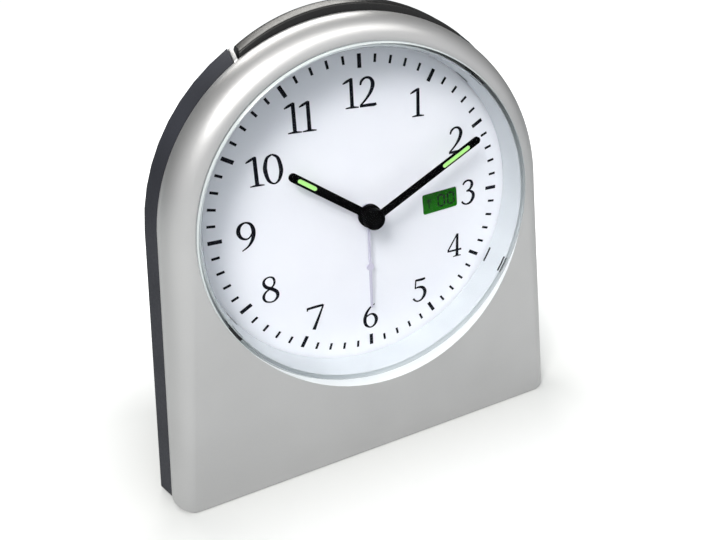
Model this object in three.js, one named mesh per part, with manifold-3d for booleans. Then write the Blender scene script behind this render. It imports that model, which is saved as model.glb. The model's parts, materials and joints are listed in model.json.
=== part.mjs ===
// Arched radio-controlled alarm clock: a silver front, a charcoal rear case and a radio movement.
// Millimetres. X to the right seen from the front, Y to the back, Z up from the table.
import * as THREE from 'three';
import { mergeVertices } from 'three/addons/utils/BufferGeometryUtils.js';
import Module from 'manifold-3d';

const wasm = await Module();
wasm.setup();

// Clearances
const FIT = 0.3; // between pieces that seat on each other
const INLAY_GAP = 0.1; // around a filled slot or a window
const PRESS_STOP = 0.15; // left over when a button is fully in

// Silver front
const ARCH_RADIUS = 45.4;
const ARCH_DROP = 1.1; // the arch's centre lies this far below the dial's
const DIAL_HEIGHT = 61.6;
const SIDE_FLARE = 6.1; // degrees that each side leans out towards the base
const FRONT_DEPTH = 7.2;
const EDGE_ROUND_WIDTH = 5.5;
const EDGE_ROUND_DEPTH = 6.4;
const FRONT_CORNER = 1.4;
const FRONT_WALL = 2;
const BASE_GAP = 0.3; // the silver front stands this far off the table

// Lens and its well
const FACE_BAND = 6.8; // silver between the lens and the arch
const LENS_WALL = 0.8;
const LENS_GLASS = 1.5;
const LENS_PROUD = 1.2;
const LENS_RIM = 0.4; // how far the rim covers the face round the well
const WELL_WALL = 1.5;
const LUG_ANGLES = [40, 118, 242, 320]; // clockwise from 12
const LUG_WIDTH = 4.8;
const LUG_DEPTH = 2;
const LUG_BACK = 2; // from the dial to the lug

// Dial and display
const FACE_TO_DIAL = 8;
const DIAL_THICKNESS = 0.8;
const DIAL_OVERLAP = 1; // how far the dial reaches under the well
const DISPLAY_X = 19.8;
const DISPLAY_DROP = 0.85; // below the dial centre
const DISPLAY_WIDTH = 9.7;
const DISPLAY_HEIGHT = 5.3;
const DISPLAY_TILT = 4.5; // its right end is higher
const DISPLAY_BORDER = 1.8; // glass hidden behind the dial
const DISPLAY_GLASS = 1.4;
const GUIDE_LENGTH = 9.6;

// Hands, set at ten past ten
const MINUTE_ANGLE = 61.5;
const HOUR_ANGLE = 300 + MINUTE_ANGLE / 12;
const ALARM_ANGLE = 180;
const MINUTE_REACH = 31.2;
const MINUTE_WIDTH = 1.7;
const HOUR_REACH = 21.9;
const HOUR_WIDTH = 1.95;
const ALARM_REACH = 24.6;
const ALARM_WIDTH = 0.55;
const ALARM_EYE = 0.95;
const ALARM_EYE_AT = 13.5;
const BLADE = 0.6;
const ALARM_RISE = 1; // from the dial to the alarm hand
const ALARM_BLADE = 0.4;
const ALARM_HUB_WALL = 0.45;
const HOUR_HUB = 2.75;
const HOUR_HUB_DEPTH = 1.5;
const MINUTE_HUB = 2.4;
const MINUTE_HUB_DEPTH = 2.5;
const HUB_ROUND = 0.7;
const LUME_WIDTH = 0.9;
const MINUTE_LUME = [20, 28];
const HOUR_LUME = [15, 19.8];

// Wheel train
const TOOTH_MODULE = 0.4;
// Tooth heights in modules, and widths in pitches
const WHEEL_TOOTH = { tip: 0.85, root: 1.15, tipWidth: 0.16, rootWidth: 0.5 };
const PINION_TOOTH = { tip: 0.7, root: 1.2, tipWidth: 0.2, rootWidth: 0.34 };
const WHEEL = 1.2;
const LAYER_GAP = 0.5;
const ARBOR = 0.6;
const PIPE_WALL = 0.4;
const STUD = 0.5;
const SHAFT = 1;
const CANNON_TEETH = 10;
const MOTION_TEETH = 30;
const MOTION_PINION_TEETH = 8;
const HOUR_TEETH = 32;
const MINUTE_TEETH = 40;
const TRAIN_PINION_TEETH = 8;
const TRAIN_TEETH = 32;
const ROTOR_PINION_TEETH = 8;
const ALARM_TEETH = 32;
const SETTING_TEETH = 18;
const MOTION_DIRECTION = 180; // clockwise from 12, seen from the front
const TRAIN_DIRECTION = 250;
const ROTOR_DIRECTION = 200; // from the train wheel
const SETTING_DIRECTION = 0;

// Movement box and motor
const PLATE = 1.5;
const BOX_WALL = 1.2;
const BOX_LEFT = 27.5;
const BOX_ABOVE = 19;
const BOX_BELOW = 17.5;
const BOX_CORNER = 3;
const BEARING_DEPTH = 0.8;
const MAGNET_RADIUS = 2.2;
const MAGNET_DEPTH = 2.4;
const AIR_GAP = 0.5;
const STATOR_SHEET = 1;
const STATOR_BAR = 2.5;
const STATOR_MARGIN = 1.6; // steel left round the rotor hole
const STATOR_HEIGHT = 27;
const CORE_REACH = 11; // from the rotor to the middle of the coil core
const STATOR_RIGHT = 9; // from the rotor to the free edge
const WINDING = 0.9;

// Rear case
const FLANGE_OVERHANG = 1.8; // at its back edge; its front edge is flush with the silver
const FLANGE_DEPTH = 4.8;
const FLANGE_EDGE = 0.5;
const FLANGE_STEP = 1.2; // depth over which the flange turns in to the body
const FLANGE_CORNER = 0.8;
const BODY_INSET = 2.6;
const BODY_TAPER = 4;
const BODY_ROUND = 4;
const BODY_CORNER = 4;
const DIAL_ROOM = 0.8; // extra width of the hollow round the dial
const CASE_WALL = 1.8;
const REAR_LIFT = 1.2; // rounding under the back edge
const POST_RADIUS = 2.2;

// Snooze bar on the arch
const BAR_HALF_WIDTH = 24.4;
const BAR_HEIGHT = 2.4; // above the silver arch
const BAR_BODY = 3.1;
const BAR_DEPTH = 5.2;
const BAR_CROWN = 0.7;
const BAR_TRAVEL = 1.2;
const EAR_WIDTH = 1;
const EAR_HEIGHT = 1.6;
const EAR_DEPTH = 3.4;
const EAR_ROOT = 1;
const STEM_HALF_WIDTH = 4;
const STEM_DEPTH = 1.6;
const FOOT_HALF_WIDTH = 5.5;
const FOOT_DEPTH = 4.6;
const FOOT_HEIGHT = 1.3;
const CRADLE_WALL = 1.2;

// Tact switches, board and rear controls
const SWITCH_SIDE = 6;
const SWITCH_BODY = 3.4;
const SWITCH_PLUNGER = 1.2;
const SWITCH_RISE = 0.8;
const BOARD = 1.2;
const BOARD_LEFT_GAP = 0.8;
const BOARD_RIGHT = 31;
const BOARD_HEIGHT = 32.6;
const BOARD_CLEAR = 1.5; // under the arch, at its upper right corner
const CONTROL_X = 19.5;
const BUTTON_DROPS = { receive: 13.8, set: 21.4, reset: 28.2 }; // below the board's top
const BUTTON_RADII = { receive: 2.6, set: 2.6, reset: 1.8 };
const BUTTON_PROUD = 1.2;
const BUTTON_TRAVEL = 0.8;
const BUTTON_FLANGE = 1;
const BUTTON_STEM = 1.4;
const SLIDE_DROP = 6;
const SLIDE_TRAVEL = 4;
const SLIDE_LENGTH = 5;
const SLIDE_WIDTH = 3.6;
const SLIDE_PROUD = 1.6;
const SLIDE_SWITCH = [8, 3.8, 6];
const CHIP = [7, 1.4, 7];
const CHIP_DROP = 14;
const CRYSTAL_RADIUS = 1.1;
const CRYSTAL_LENGTH = 6.4;
const CRYSTAL_GAP = 2; // below the chip
const KNOB_RADIUS = 6.5;
const KNOB_DEPTH = 5;
const KNOB_RIBS = 16;
const KNOB_RIB = 0.4;
const KNOB_DISH = 0.8;
const BUZZER_X = -19;
const BUZZER_RADIUS = 10;
const BUZZER_DEPTH = 2;
const SOUND_HOLE = 1.1;
const SOUND_RING = 5;

// Antenna
const ROD_RADIUS = 4;
const ROD_HEADROOM = 3.1; // over the coil
const ROD_END_GAP = 0.8;
const COIL_WALL = 1.2;
const COIL_LENGTH = 22;
const CRADLE_RIB = 2;

// Battery bay
const CELL_RADIUS = 7.25;
const CELL_LENGTH = 50.5;
const CELL_NUB_RADIUS = 2.6;
const CELL_NUB = 1.5;
const CELL_GAP = 0.4;
const CONTACT_ROOM = 3.4; // at each end of the cells
const CONTACT_SHEET = 0.5;
const CONTACT_WIDTH = 8;
const BAY_BASE = 4.2;
const BAY_WALL = 1.5;
const DOOR = 1.8;
const DOOR_PIN = 0.9;
const DOOR_PIN_LENGTH = 1.5;
const DOOR_RIB = 0.5;

// Case screws
const SCREW_INSET = 10; // inside the arch's radius
const SCREW_LOW = 10;
const SCREW_CLEAR = 0.6; // between the upper screws' columns and the dial
const SCREW_RADIUS = 1;
const SCREW_HEAD = 2.4;
const SCREW_HEAD_DEPTH = 1.6;
const SCREW_SEAT = 4;
const SCREW_REACH = 4.2; // into the front boss
const BOSS_WALL = 1.4;

// Facets
const ARCH_STEPS = 30;
const CORNER_STEPS = 3;
const ROUND_STEPS = 5;
const HOLLOW_STEPS = 2;
const DISC_SIDES = 60;
const RING_SIDES = 24;
const SMALL_SIDES = 12;
const CELL_SIDES = 20;
const BUTTON_SIDES = 14;

const rad = THREE.MathUtils.degToRad;
const flare = rad(SIDE_FLARE);
const archHeight = DIAL_HEIGHT - ARCH_DROP;

// Places along Y, from the lens to the knob
const lensRadius = ARCH_RADIUS - FACE_BAND;
const wellRadius = lensRadius + FIT;
const wellOuter = wellRadius + WELL_WALL;
const dialRadius = wellRadius + DIAL_OVERLAP;
const coilRadius = ROD_RADIUS + FIT + COIL_WALL;
const layerPitch = WHEEL + LAYER_GAP;
const rotorRoom = MAGNET_DEPTH + LAYER_GAP;
const boxDepth = 2 * PLATE + 2 * LAYER_GAP + 5 * layerPitch + rotorRoom;
const dialBehindLens = LENS_PROUD + FACE_TO_DIAL + DIAL_THICKNESS;
const roomDepth = FIT + boxDepth + FIT + 2 * coilRadius + FIT;
const caseDepth = dialBehindLens + roomDepth + CASE_WALL;
const lensFrontY = -(caseDepth + KNOB_DEPTH) / 2;
const faceY = lensFrontY + LENS_PROUD;
const partingY = faceY + FRONT_DEPTH;
const flangeY = partingY + FIT;
const flangeBackY = flangeY + FLANGE_DEPTH;
const dialY = faceY + FACE_TO_DIAL;
const dialBackY = dialY + DIAL_THICKNESS;
const boxY = dialBackY + FIT;
const boxBackY = boxY + boxDepth;
const coverY = boxBackY - PLATE;
const rearInnerY = boxBackY + FIT + 2 * coilRadius + FIT;
const rearY = rearInnerY + CASE_WALL;
const layerY = (n) => boxY + PLATE + LAYER_GAP + n * layerPitch;
const rotorY = layerY(5);
const rodY = boxBackY + FIT + coilRadius;

// Hands along Y
const alarmBackY = dialY - ALARM_RISE;
const alarmFrontY = alarmBackY - ALARM_BLADE;
const hourBackY = alarmFrontY - FIT;
const hourFrontY = hourBackY - HOUR_HUB_DEPTH;
const minuteBackY = hourFrontY - FIT;
const minuteFrontY = minuteBackY - MINUTE_HUB_DEPTH;

// Solids

// A closed mesh becomes a solid that faces out, without the slivers at a lathe's poles.
function solid(geometry) {
  geometry.deleteAttribute('normal');
  geometry.deleteAttribute('uv');
  const merged = mergeVertices(geometry);
  const at = merged.attributes.position.array;
  const index = merged.index.array;
  const kept = [];
  let volume = 0;
  const a = new THREE.Vector3();
  const b = new THREE.Vector3();
  const c = new THREE.Vector3();
  for (let i = 0; i < index.length; i += 3) {
    const [i0, i1, i2] = [index[i], index[i + 1], index[i + 2]];
    if (i0 === i1 || i1 === i2 || i2 === i0) continue;
    kept.push(i0, i1, i2);
    a.fromArray(at, 3 * i0);
    b.fromArray(at, 3 * i1);
    c.fromArray(at, 3 * i2);
    volume += a.dot(b.cross(c));
  }
  if (volume < 0) kept.reverse();
  return new wasm.Manifold(new wasm.Mesh({
    numProp: 3,
    vertProperties: new Float32Array(at),
    triVerts: new Uint32Array(kept),
  }));
}

function geometryOf(body) {
  const mesh = body.getMesh();
  const geometry = new THREE.BufferGeometry();
  geometry.setAttribute('position', new THREE.BufferAttribute(new Float32Array(mesh.vertProperties), 3));
  geometry.setIndex(new THREE.BufferAttribute(new Uint32Array(mesh.triVerts), 1));
  geometry.computeVertexNormals();
  return geometry;
}

const join = (...bodies) => bodies.reduce((sum, body) => sum.add(body));
const cut = (body, ...tools) => tools.reduce((left, tool) => left.subtract(tool), body);

// A flat outline in X and Z, run along Y.
function prism(shape, front, back, steps = SMALL_SIDES) {
  const geometry = new THREE.ExtrudeGeometry(shape, {
    depth: back - front,
    bevelEnabled: false,
    curveSegments: steps,
  });
  geometry.rotateX(Math.PI / 2);
  geometry.translate(0, back, 0);
  return solid(geometry);
}

function block(x0, x1, y0, y1, z0, z1) {
  const geometry = new THREE.BoxGeometry(x1 - x0, y1 - y0, z1 - z0);
  geometry.translate((x0 + x1) / 2, (y0 + y1) / 2, (z0 + z1) / 2);
  return solid(geometry);
}

// A round bar along Y.
function rod(x, z, radius, front, back, sides = SMALL_SIDES) {
  const geometry = new THREE.CylinderGeometry(radius, radius, back - front, sides);
  geometry.translate(x, (front + back) / 2, z);
  return solid(geometry);
}

// A round bar along X.
function crossRod(x0, x1, y, z, radius, sides = SMALL_SIDES) {
  const geometry = new THREE.CylinderGeometry(radius, radius, x1 - x0, sides);
  geometry.rotateZ(Math.PI / 2);
  geometry.translate((x0 + x1) / 2, y, z);
  return solid(geometry);
}

// A profile of radius and Y, turned about a Y axis.
function turned(profile, x, z, sides) {
  const points = profile.map(([radius, y]) => new THREE.Vector2(radius, y));
  const geometry = new THREE.LatheGeometry(points, sides);
  geometry.translate(x, 0, z);
  return solid(geometry);
}

function roundedRect(x0, x1, z0, z1, radius) {
  const shape = new THREE.Shape();
  shape.absarc(x0 + radius, z0 + radius, radius, Math.PI, 1.5 * Math.PI);
  shape.absarc(x1 - radius, z0 + radius, radius, 1.5 * Math.PI, 2 * Math.PI);
  shape.absarc(x1 - radius, z1 - radius, radius, 0, 0.5 * Math.PI);
  shape.absarc(x0 + radius, z1 - radius, radius, 0.5 * Math.PI, Math.PI);
  return shape;
}

// The arched outline, moved out by offset: corner, side, arch, side, corner.
function outline(offset, corner, base) {
  const radius = ARCH_RADIUS + offset;
  const sideX = (z) => radius / Math.cos(flare) + (archHeight - z) * Math.tan(flare);
  const cornerZ = base + corner;
  const cornerX = sideX(cornerZ) - corner / Math.cos(flare);
  const half = [];
  for (let i = 0; i <= CORNER_STEPS; i += 1) {
    const angle = -Math.PI / 2 + (i / CORNER_STEPS) * (flare + Math.PI / 2);
    half.push([cornerX + corner * Math.cos(angle), cornerZ + corner * Math.sin(angle)]);
  }
  const points = [...half];
  for (let i = 0; i <= ARCH_STEPS; i += 1) {
    const angle = flare + (i / ARCH_STEPS) * (Math.PI - 2 * flare);
    points.push([radius * Math.cos(angle), archHeight + radius * Math.sin(angle)]);
  }
  for (const [x, z] of half.reverse()) points.push([-x, z]);
  return points;
}

// Arched outlines joined one behind the other.
function archLoft(rings) {
  const loops = rings.map(({ offset, corner, base }) => outline(offset, corner, base));
  const count = loops[0].length;
  const at = [];
  loops.forEach((loop, k) => loop.forEach(([x, z]) => at.push(x, rings[k].y, z)));
  const index = [];
  for (let k = 0; k + 1 < loops.length; k += 1) {
    for (let i = 0; i < count; i += 1) {
      const here = k * count + i;
      const next = k * count + (i + 1) % count;
      index.push(here, next, here + count, next, next + count, here + count);
    }
  }
  const flat = (loop) => loop.map(([x, z]) => new THREE.Vector2(x, z));
  const cap = (loop) => THREE.ShapeUtils.triangulateShape(flat(loop), []);
  const last = (loops.length - 1) * count;
  for (const [a, b, c] of cap(loops[0])) index.push(a, c, b);
  for (const [a, b, c] of cap(loops.at(-1))) index.push(last + a, last + b, last + c);
  const geometry = new THREE.BufferGeometry();
  geometry.setAttribute('position', new THREE.BufferAttribute(new Float32Array(at), 3));
  geometry.setIndex(index);
  return solid(geometry);
}

// A place at a clock angle and radius from a centre.
function clockPoint(angle, radius, [x, z] = [0, DIAL_HEIGHT]) {
  return [x + radius * Math.sin(rad(angle)), z + radius * Math.cos(rad(angle))];
}

// Turns a solid clockwise about the Y axis through a place.
function turnClockwise(body, angle, [x, z] = [0, DIAL_HEIGHT]) {
  return body.translate([-x, 0, -z]).rotate([0, angle, 0]).translate([x, 0, z]);
}

// Toothed wheels: straight flanks, thin enough at the pitch line to run free.
const pitchRadius = (teeth) => teeth * TOOTH_MODULE / 2;

function toothedShape(teeth, form) {
  const pitch = pitchRadius(teeth);
  const rootRadius = pitch - form.root * TOOTH_MODULE;
  const tipRadius = pitch + form.tip * TOOTH_MODULE;
  const circle = Math.PI * TOOTH_MODULE;
  const rootHalf = form.rootWidth * circle / 2 / pitch;
  const tipHalf = form.tipWidth * circle / 2 / pitch;
  const shape = new THREE.Shape();
  for (let i = 0; i < teeth; i += 1) {
    const middle = (2 * Math.PI * i) / teeth;
    const corners = [
      [rootRadius, -rootHalf],
      [tipRadius, -tipHalf],
      [tipRadius, tipHalf],
      [rootRadius, rootHalf],
    ];
    for (const [radius, angle] of corners) {
      const x = radius * Math.sin(middle + angle);
      const z = radius * Math.cos(middle + angle);
      if (i === 0 && shape.curves.length === 0 && radius === rootRadius && angle < 0) shape.moveTo(x, z);
      else shape.lineTo(x, z);
    }
  }
  return shape;
}

// A wheel at a place, turned so that a tooth, or a gap, points along a clock angle.
function wheel(teeth, form, layer, [x, z], angle, meshing) {
  const body = prism(toothedShape(teeth, form), layerY(layer), layerY(layer) + WHEEL);
  const turn = angle + (meshing === 'gap' ? 180 / teeth : 0);
  return body.rotate([0, turn, 0]).translate([x, 0, z]);
}

const meshDistance = (a, b) => pitchRadius(a) + pitchRadius(b);
const centre = [0, DIAL_HEIGHT];
const motionAt = clockPoint(MOTION_DIRECTION, meshDistance(CANNON_TEETH, MOTION_TEETH));
const trainAt = clockPoint(TRAIN_DIRECTION, meshDistance(TRAIN_PINION_TEETH, MINUTE_TEETH));
const rotorAt = clockPoint(ROTOR_DIRECTION, meshDistance(ROTOR_PINION_TEETH, TRAIN_TEETH), trainAt);
const settingAt = clockPoint(SETTING_DIRECTION, meshDistance(ALARM_TEETH, SETTING_TEETH));

// Layers of the train, from the dial to the back
const ALARM_LAYER = 0;
const HOUR_LAYER = 1;
const MOTION_LAYER = 2;
const MINUTE_LAYER = 3;
const TRAIN_LAYER = 4;

// Nested pipes round the minute arbor
const hourBore = ARBOR + FIT;
const hourPipe = hourBore + PIPE_WALL;
const alarmBore = hourPipe + FIT;
const alarmPipe = alarmBore + PIPE_WALL;

// Front housing

function edgeRings(inset, shift, corner, base, backY, steps) {
  const rings = [{ y: backY, offset: -inset, corner, base }];
  const startY = faceY + EDGE_ROUND_DEPTH + shift;
  for (let i = 0; i <= steps; i += 1) {
    const t = (i / steps) * Math.PI / 2;
    rings.push({
      y: startY - EDGE_ROUND_DEPTH * Math.sin(t),
      offset: -inset - EDGE_ROUND_WIDTH * (1 - Math.cos(t)),
      corner,
      base,
    });
  }
  return rings.filter((ring, i) => i === 0 || ring.y < rings[i - 1].y - 1e-6);
}

const bossRadius = SCREW_RADIUS + FIT + BOSS_WALL;
const rearBossRadius = SCREW_HEAD + FIT + BOSS_WALL;
const screwX = ARCH_RADIUS - SCREW_INSET;
const screwReach = dialRadius + rearBossRadius + SCREW_CLEAR;
const screwHigh = DIAL_HEIGHT - Math.sqrt(screwReach ** 2 - screwX ** 2);
const screwPlaces = [];
for (const [height, z] of Object.entries({ lower: SCREW_LOW, upper: screwHigh })) {
  screwPlaces.push([`${height}_left`, -screwX, z], [`${height}_right`, screwX, z]);
}
const screwTipY = flangeY - FIT - SCREW_REACH;

const earInner = BAR_HALF_WIDTH + FIT;
const earOuter = earInner + EAR_WIDTH;

// A tab that closes one end of the snooze bar's notch, rounded over at the top.
function barEar(side) {
  const back = partingY + EAR_DEPTH;
  const x0 = Math.min(side * earInner, side * earOuter);
  const rib = (low, high, front) => {
    const ring = cut(
      rod(0, archHeight, high, front, back, DISC_SIDES),
      rod(0, archHeight, low, front - 1, back + 1, DISC_SIDES),
    );
    return ring.intersect(block(x0, x0 + EAR_WIDTH, front, back, archHeight, 2 * archHeight));
  };
  const low = ARCH_RADIUS - FRONT_WALL + FIT;
  return join(
    rib(low, ARCH_RADIUS - FIT, partingY - EAR_ROOT),
    rib(low, ARCH_RADIUS + EAR_HEIGHT, partingY),
  );
}

function frontHousing() {
  const skin = archLoft(edgeRings(0, 0, FRONT_CORNER, BASE_GAP, partingY, ROUND_STEPS));
  const hollow = archLoft(edgeRings(
    FRONT_WALL,
    FRONT_WALL,
    FRONT_CORNER,
    BASE_GAP + FRONT_WALL,
    partingY + 2 * FRONT_WALL,
    HOLLOW_STEPS,
  ));
  const wellBackY = dialY - FIT;
  let body = join(
    cut(skin, hollow),
    rod(0, DIAL_HEIGHT, wellOuter, faceY + FRONT_WALL / 2, wellBackY, DISC_SIDES),
    ...screwPlaces.map(([, x, z]) => rod(x, z, bossRadius, faceY + FRONT_WALL / 2, flangeY - FIT)),
    barEar(-1),
    barEar(1),
  );
  body = cut(body, rod(0, DIAL_HEIGHT, wellRadius, faceY - 1, wellBackY + 1, DISC_SIDES));
  for (const angle of LUG_ANGLES) {
    const half = LUG_WIDTH / 2 + FIT;
    const slot = block(
      -half,
      half,
      dialY - LUG_BACK - LUG_DEPTH - FIT,
      dialY - LUG_BACK + FIT,
      DIAL_HEIGHT + lensRadius - LENS_WALL,
      DIAL_HEIGHT + wellOuter + FIT,
    );
    body = cut(body, turnClockwise(slot, angle));
  }
  for (const [, x, z] of screwPlaces) {
    body = cut(body, rod(x, z, SCREW_RADIUS + FIT, screwTipY - FIT, flangeY));
  }
  return body;
}

function lens() {
  const skirtInner = lensRadius - LENS_WALL;
  const rimOuter = wellRadius + LENS_RIM;
  const rimBackY = faceY - FIT;
  const soft = (rimBackY - lensFrontY) / 2;
  let body = turned([
    [0, lensFrontY],
    [rimOuter - soft, lensFrontY],
    [rimOuter, lensFrontY + soft],
    [rimOuter, rimBackY],
    [lensRadius, rimBackY],
    [lensRadius, dialY - FIT],
    [skirtInner, dialY - FIT],
    [skirtInner, lensFrontY + LENS_GLASS],
    [0, lensFrontY + LENS_GLASS],
  ], 0, DIAL_HEIGHT, DISC_SIDES);
  for (const angle of LUG_ANGLES) {
    const lug = block(
      -LUG_WIDTH / 2,
      LUG_WIDTH / 2,
      dialY - LUG_BACK - LUG_DEPTH,
      dialY - LUG_BACK,
      DIAL_HEIGHT + lensRadius - LENS_WALL / 2,
      DIAL_HEIGHT + wellOuter - FIT,
    );
    body = join(body, turnClockwise(lug, angle));
  }
  return body;
}

// Dial and display

const displayZ = DIAL_HEIGHT - DISPLAY_DROP;

// A bar of the display's outline, grown all round and tilted with it.
function displayBar(grow, front, back) {
  const shape = roundedRect(
    DISPLAY_X - DISPLAY_WIDTH / 2 - grow,
    DISPLAY_X + DISPLAY_WIDTH / 2 + grow,
    displayZ - DISPLAY_HEIGHT / 2 - grow,
    displayZ + DISPLAY_HEIGHT / 2 + grow,
    0.5,
  );
  return turnClockwise(prism(shape, front, back, 3), -DISPLAY_TILT, [DISPLAY_X, displayZ]);
}

function dial() {
  return cut(
    rod(0, DIAL_HEIGHT, dialRadius, dialY, dialBackY, DISC_SIDES),
    rod(0, DIAL_HEIGHT, alarmPipe + FIT, dialY - 1, dialBackY + 1),
    displayBar(0, dialY - 1, dialBackY + 1),
  );
}

function displayPanel() {
  const glassY = dialBackY + FIT;
  return join(
    displayBar(-INLAY_GAP, dialY + INLAY_GAP, glassY + DISPLAY_GLASS),
    displayBar(DISPLAY_BORDER, glassY, glassY + DISPLAY_GLASS),
  );
}

const guideY = dialBackY + FIT + DISPLAY_GLASS + FIT;
const boardY = guideY + GUIDE_LENGTH + FIT;
const boardBackY = boardY + BOARD;

function displayLightGuide() {
  return displayBar(0, guideY, guideY + GUIDE_LENGTH);
}

// Hands

// A baton with a round tip and a long slot, pointing to 12 before it is turned.
function baton(width, reach, front, back) {
  const shape = new THREE.Shape();
  const half = width / 2;
  const tipZ = DIAL_HEIGHT + reach - half;
  shape.moveTo(-half, DIAL_HEIGHT);
  shape.lineTo(half, DIAL_HEIGHT);
  shape.lineTo(half, tipZ);
  shape.absarc(0, tipZ, half, 0, Math.PI);
  return prism(shape, front, back, 6);
}

function lumeSlot([from, to], grow, front, back) {
  const half = LUME_WIDTH / 2 + grow;
  return prism(
    roundedRect(-half, half, DIAL_HEIGHT + from - grow, DIAL_HEIGHT + to + grow, half - 0.01),
    front,
    back,
    3,
  );
}

const bladeBack = (back, depth) => back - (depth - BLADE) / 2;

function slottedHand({ width, reach, lume, hub, back, depth, bore, boreEnd, dome, angle }) {
  const blade = bladeBack(back, depth);
  const hubProfile = [
    [0, back],
    [hub, back],
    [hub, back - depth + dome],
    [hub - dome * 0.3, back - depth + dome * 0.3],
    [hub - dome, back - depth],
    [0, back - depth],
  ];
  const body = cut(
    join(baton(width, reach, blade - BLADE, blade), turned(hubProfile, 0, DIAL_HEIGHT, CELL_SIDES)),
    lumeSlot(lume, INLAY_GAP, blade - BLADE - 1, blade + 1),
    rod(0, DIAL_HEIGHT, bore, boreEnd, back + 1),
  );
  return turnClockwise(body, angle);
}

const minuteForm = {
  width: MINUTE_WIDTH,
  reach: MINUTE_REACH,
  lume: MINUTE_LUME,
  hub: MINUTE_HUB,
  back: minuteBackY,
  depth: MINUTE_HUB_DEPTH,
  bore: ARBOR + FIT,
  boreEnd: minuteFrontY + HUB_ROUND,
  dome: HUB_ROUND,
  angle: MINUTE_ANGLE,
};
const hourForm = {
  width: HOUR_WIDTH,
  reach: HOUR_REACH,
  lume: HOUR_LUME,
  hub: HOUR_HUB,
  back: hourBackY,
  depth: HOUR_HUB_DEPTH,
  bore: hourPipe + FIT,
  boreEnd: hourFrontY - 1,
  dome: HUB_ROUND / 2,
  angle: HOUR_ANGLE,
};

function lumeInlay({ lume, back, depth, angle }) {
  const blade = bladeBack(back, depth);
  return turnClockwise(lumeSlot(lume, 0, blade - BLADE, blade), angle);
}

function alarmHand() {
  const body = cut(
    join(
      baton(ALARM_WIDTH, ALARM_REACH, alarmFrontY, alarmBackY),
      rod(0, DIAL_HEIGHT, alarmPipe + FIT / 2 + ALARM_HUB_WALL, alarmFrontY, alarmBackY, RING_SIDES),
      rod(0, DIAL_HEIGHT + ALARM_EYE_AT, ALARM_EYE, alarmFrontY, alarmBackY),
    ),
    rod(0, DIAL_HEIGHT, alarmPipe + FIT / 2, alarmFrontY - 1, alarmBackY + 1),
  );
  return turnClockwise(body, ALARM_ANGLE);
}

// Wheels and shafts

function minuteWheel() {
  return join(
    wheel(MINUTE_TEETH, WHEEL_TOOTH, MINUTE_LAYER, centre, TRAIN_DIRECTION, 'tooth'),
    wheel(CANNON_TEETH, PINION_TOOTH, MOTION_LAYER, centre, MOTION_DIRECTION, 'tooth'),
    rod(0, DIAL_HEIGHT, ARBOR, minuteFrontY + HUB_ROUND + FIT, coverY + BEARING_DEPTH),
    rod(0, DIAL_HEIGHT, ARBOR + PIPE_WALL, layerY(MOTION_LAYER), layerY(MINUTE_LAYER)),
  );
}

function motionWheel() {
  const body = join(
    wheel(MOTION_TEETH, WHEEL_TOOTH, MOTION_LAYER, motionAt, MOTION_DIRECTION + 180, 'gap'),
    wheel(MOTION_PINION_TEETH, PINION_TOOTH, HOUR_LAYER, motionAt, MOTION_DIRECTION + 180, 'tooth'),
    rod(...motionAt, STUD + FIT + FIT, layerY(HOUR_LAYER), layerY(MOTION_LAYER) + WHEEL),
  );
  return cut(body, rod(...motionAt, STUD + FIT, layerY(0), layerY(MINUTE_LAYER)));
}

function hourWheel() {
  const body = join(
    wheel(HOUR_TEETH, WHEEL_TOOTH, HOUR_LAYER, centre, MOTION_DIRECTION, 'gap'),
    rod(0, DIAL_HEIGHT, hourPipe, hourFrontY + FIT, layerY(HOUR_LAYER) + WHEEL),
  );
  return cut(body, rod(0, DIAL_HEIGHT, hourBore, hourFrontY - 1, layerY(MOTION_LAYER)));
}

function alarmWheel() {
  const body = join(
    wheel(ALARM_TEETH, WHEEL_TOOTH, ALARM_LAYER, centre, SETTING_DIRECTION, 'tooth'),
    rod(0, DIAL_HEIGHT, alarmPipe, alarmFrontY, layerY(ALARM_LAYER) + WHEEL),
  );
  return cut(body, rod(0, DIAL_HEIGHT, alarmBore, alarmFrontY - 1, layerY(HOUR_LAYER)));
}

function alarmSetShaft() {
  return join(
    wheel(SETTING_TEETH, WHEEL_TOOTH, ALARM_LAYER, settingAt, SETTING_DIRECTION + 180, 'gap'),
    rod(...settingAt, SHAFT, boxY + PLATE - BEARING_DEPTH, rearY + KNOB_DEPTH / 2),
  );
}

function trainWheel() {
  return join(
    wheel(TRAIN_PINION_TEETH, PINION_TOOTH, MINUTE_LAYER, trainAt, TRAIN_DIRECTION + 180, 'gap'),
    wheel(TRAIN_TEETH, WHEEL_TOOTH, TRAIN_LAYER, trainAt, ROTOR_DIRECTION, 'tooth'),
    rod(...trainAt, ARBOR, boxY + PLATE - BEARING_DEPTH, coverY + BEARING_DEPTH),
  );
}

function rotor() {
  return join(
    wheel(ROTOR_PINION_TEETH, PINION_TOOTH, TRAIN_LAYER, rotorAt, ROTOR_DIRECTION + 180, 'gap'),
    rod(...rotorAt, MAGNET_RADIUS, rotorY, rotorY + MAGNET_DEPTH, RING_SIDES),
    rod(...rotorAt, ARBOR, boxY + PLATE - BEARING_DEPTH, coverY + BEARING_DEPTH),
  );
}

// Motor and movement box

const rotorHole = MAGNET_RADIUS + AIR_GAP;
const statorY = rotorY + (MAGNET_DEPTH - STATOR_SHEET) / 2;
const statorLow = rotorAt[1] - rotorHole - STATOR_MARGIN;
const statorWindowLow = rotorAt[1] + rotorHole + STATOR_MARGIN;
const statorHigh = statorLow + STATOR_HEIGHT;
const coreX = rotorAt[0] - CORE_REACH;

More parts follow.
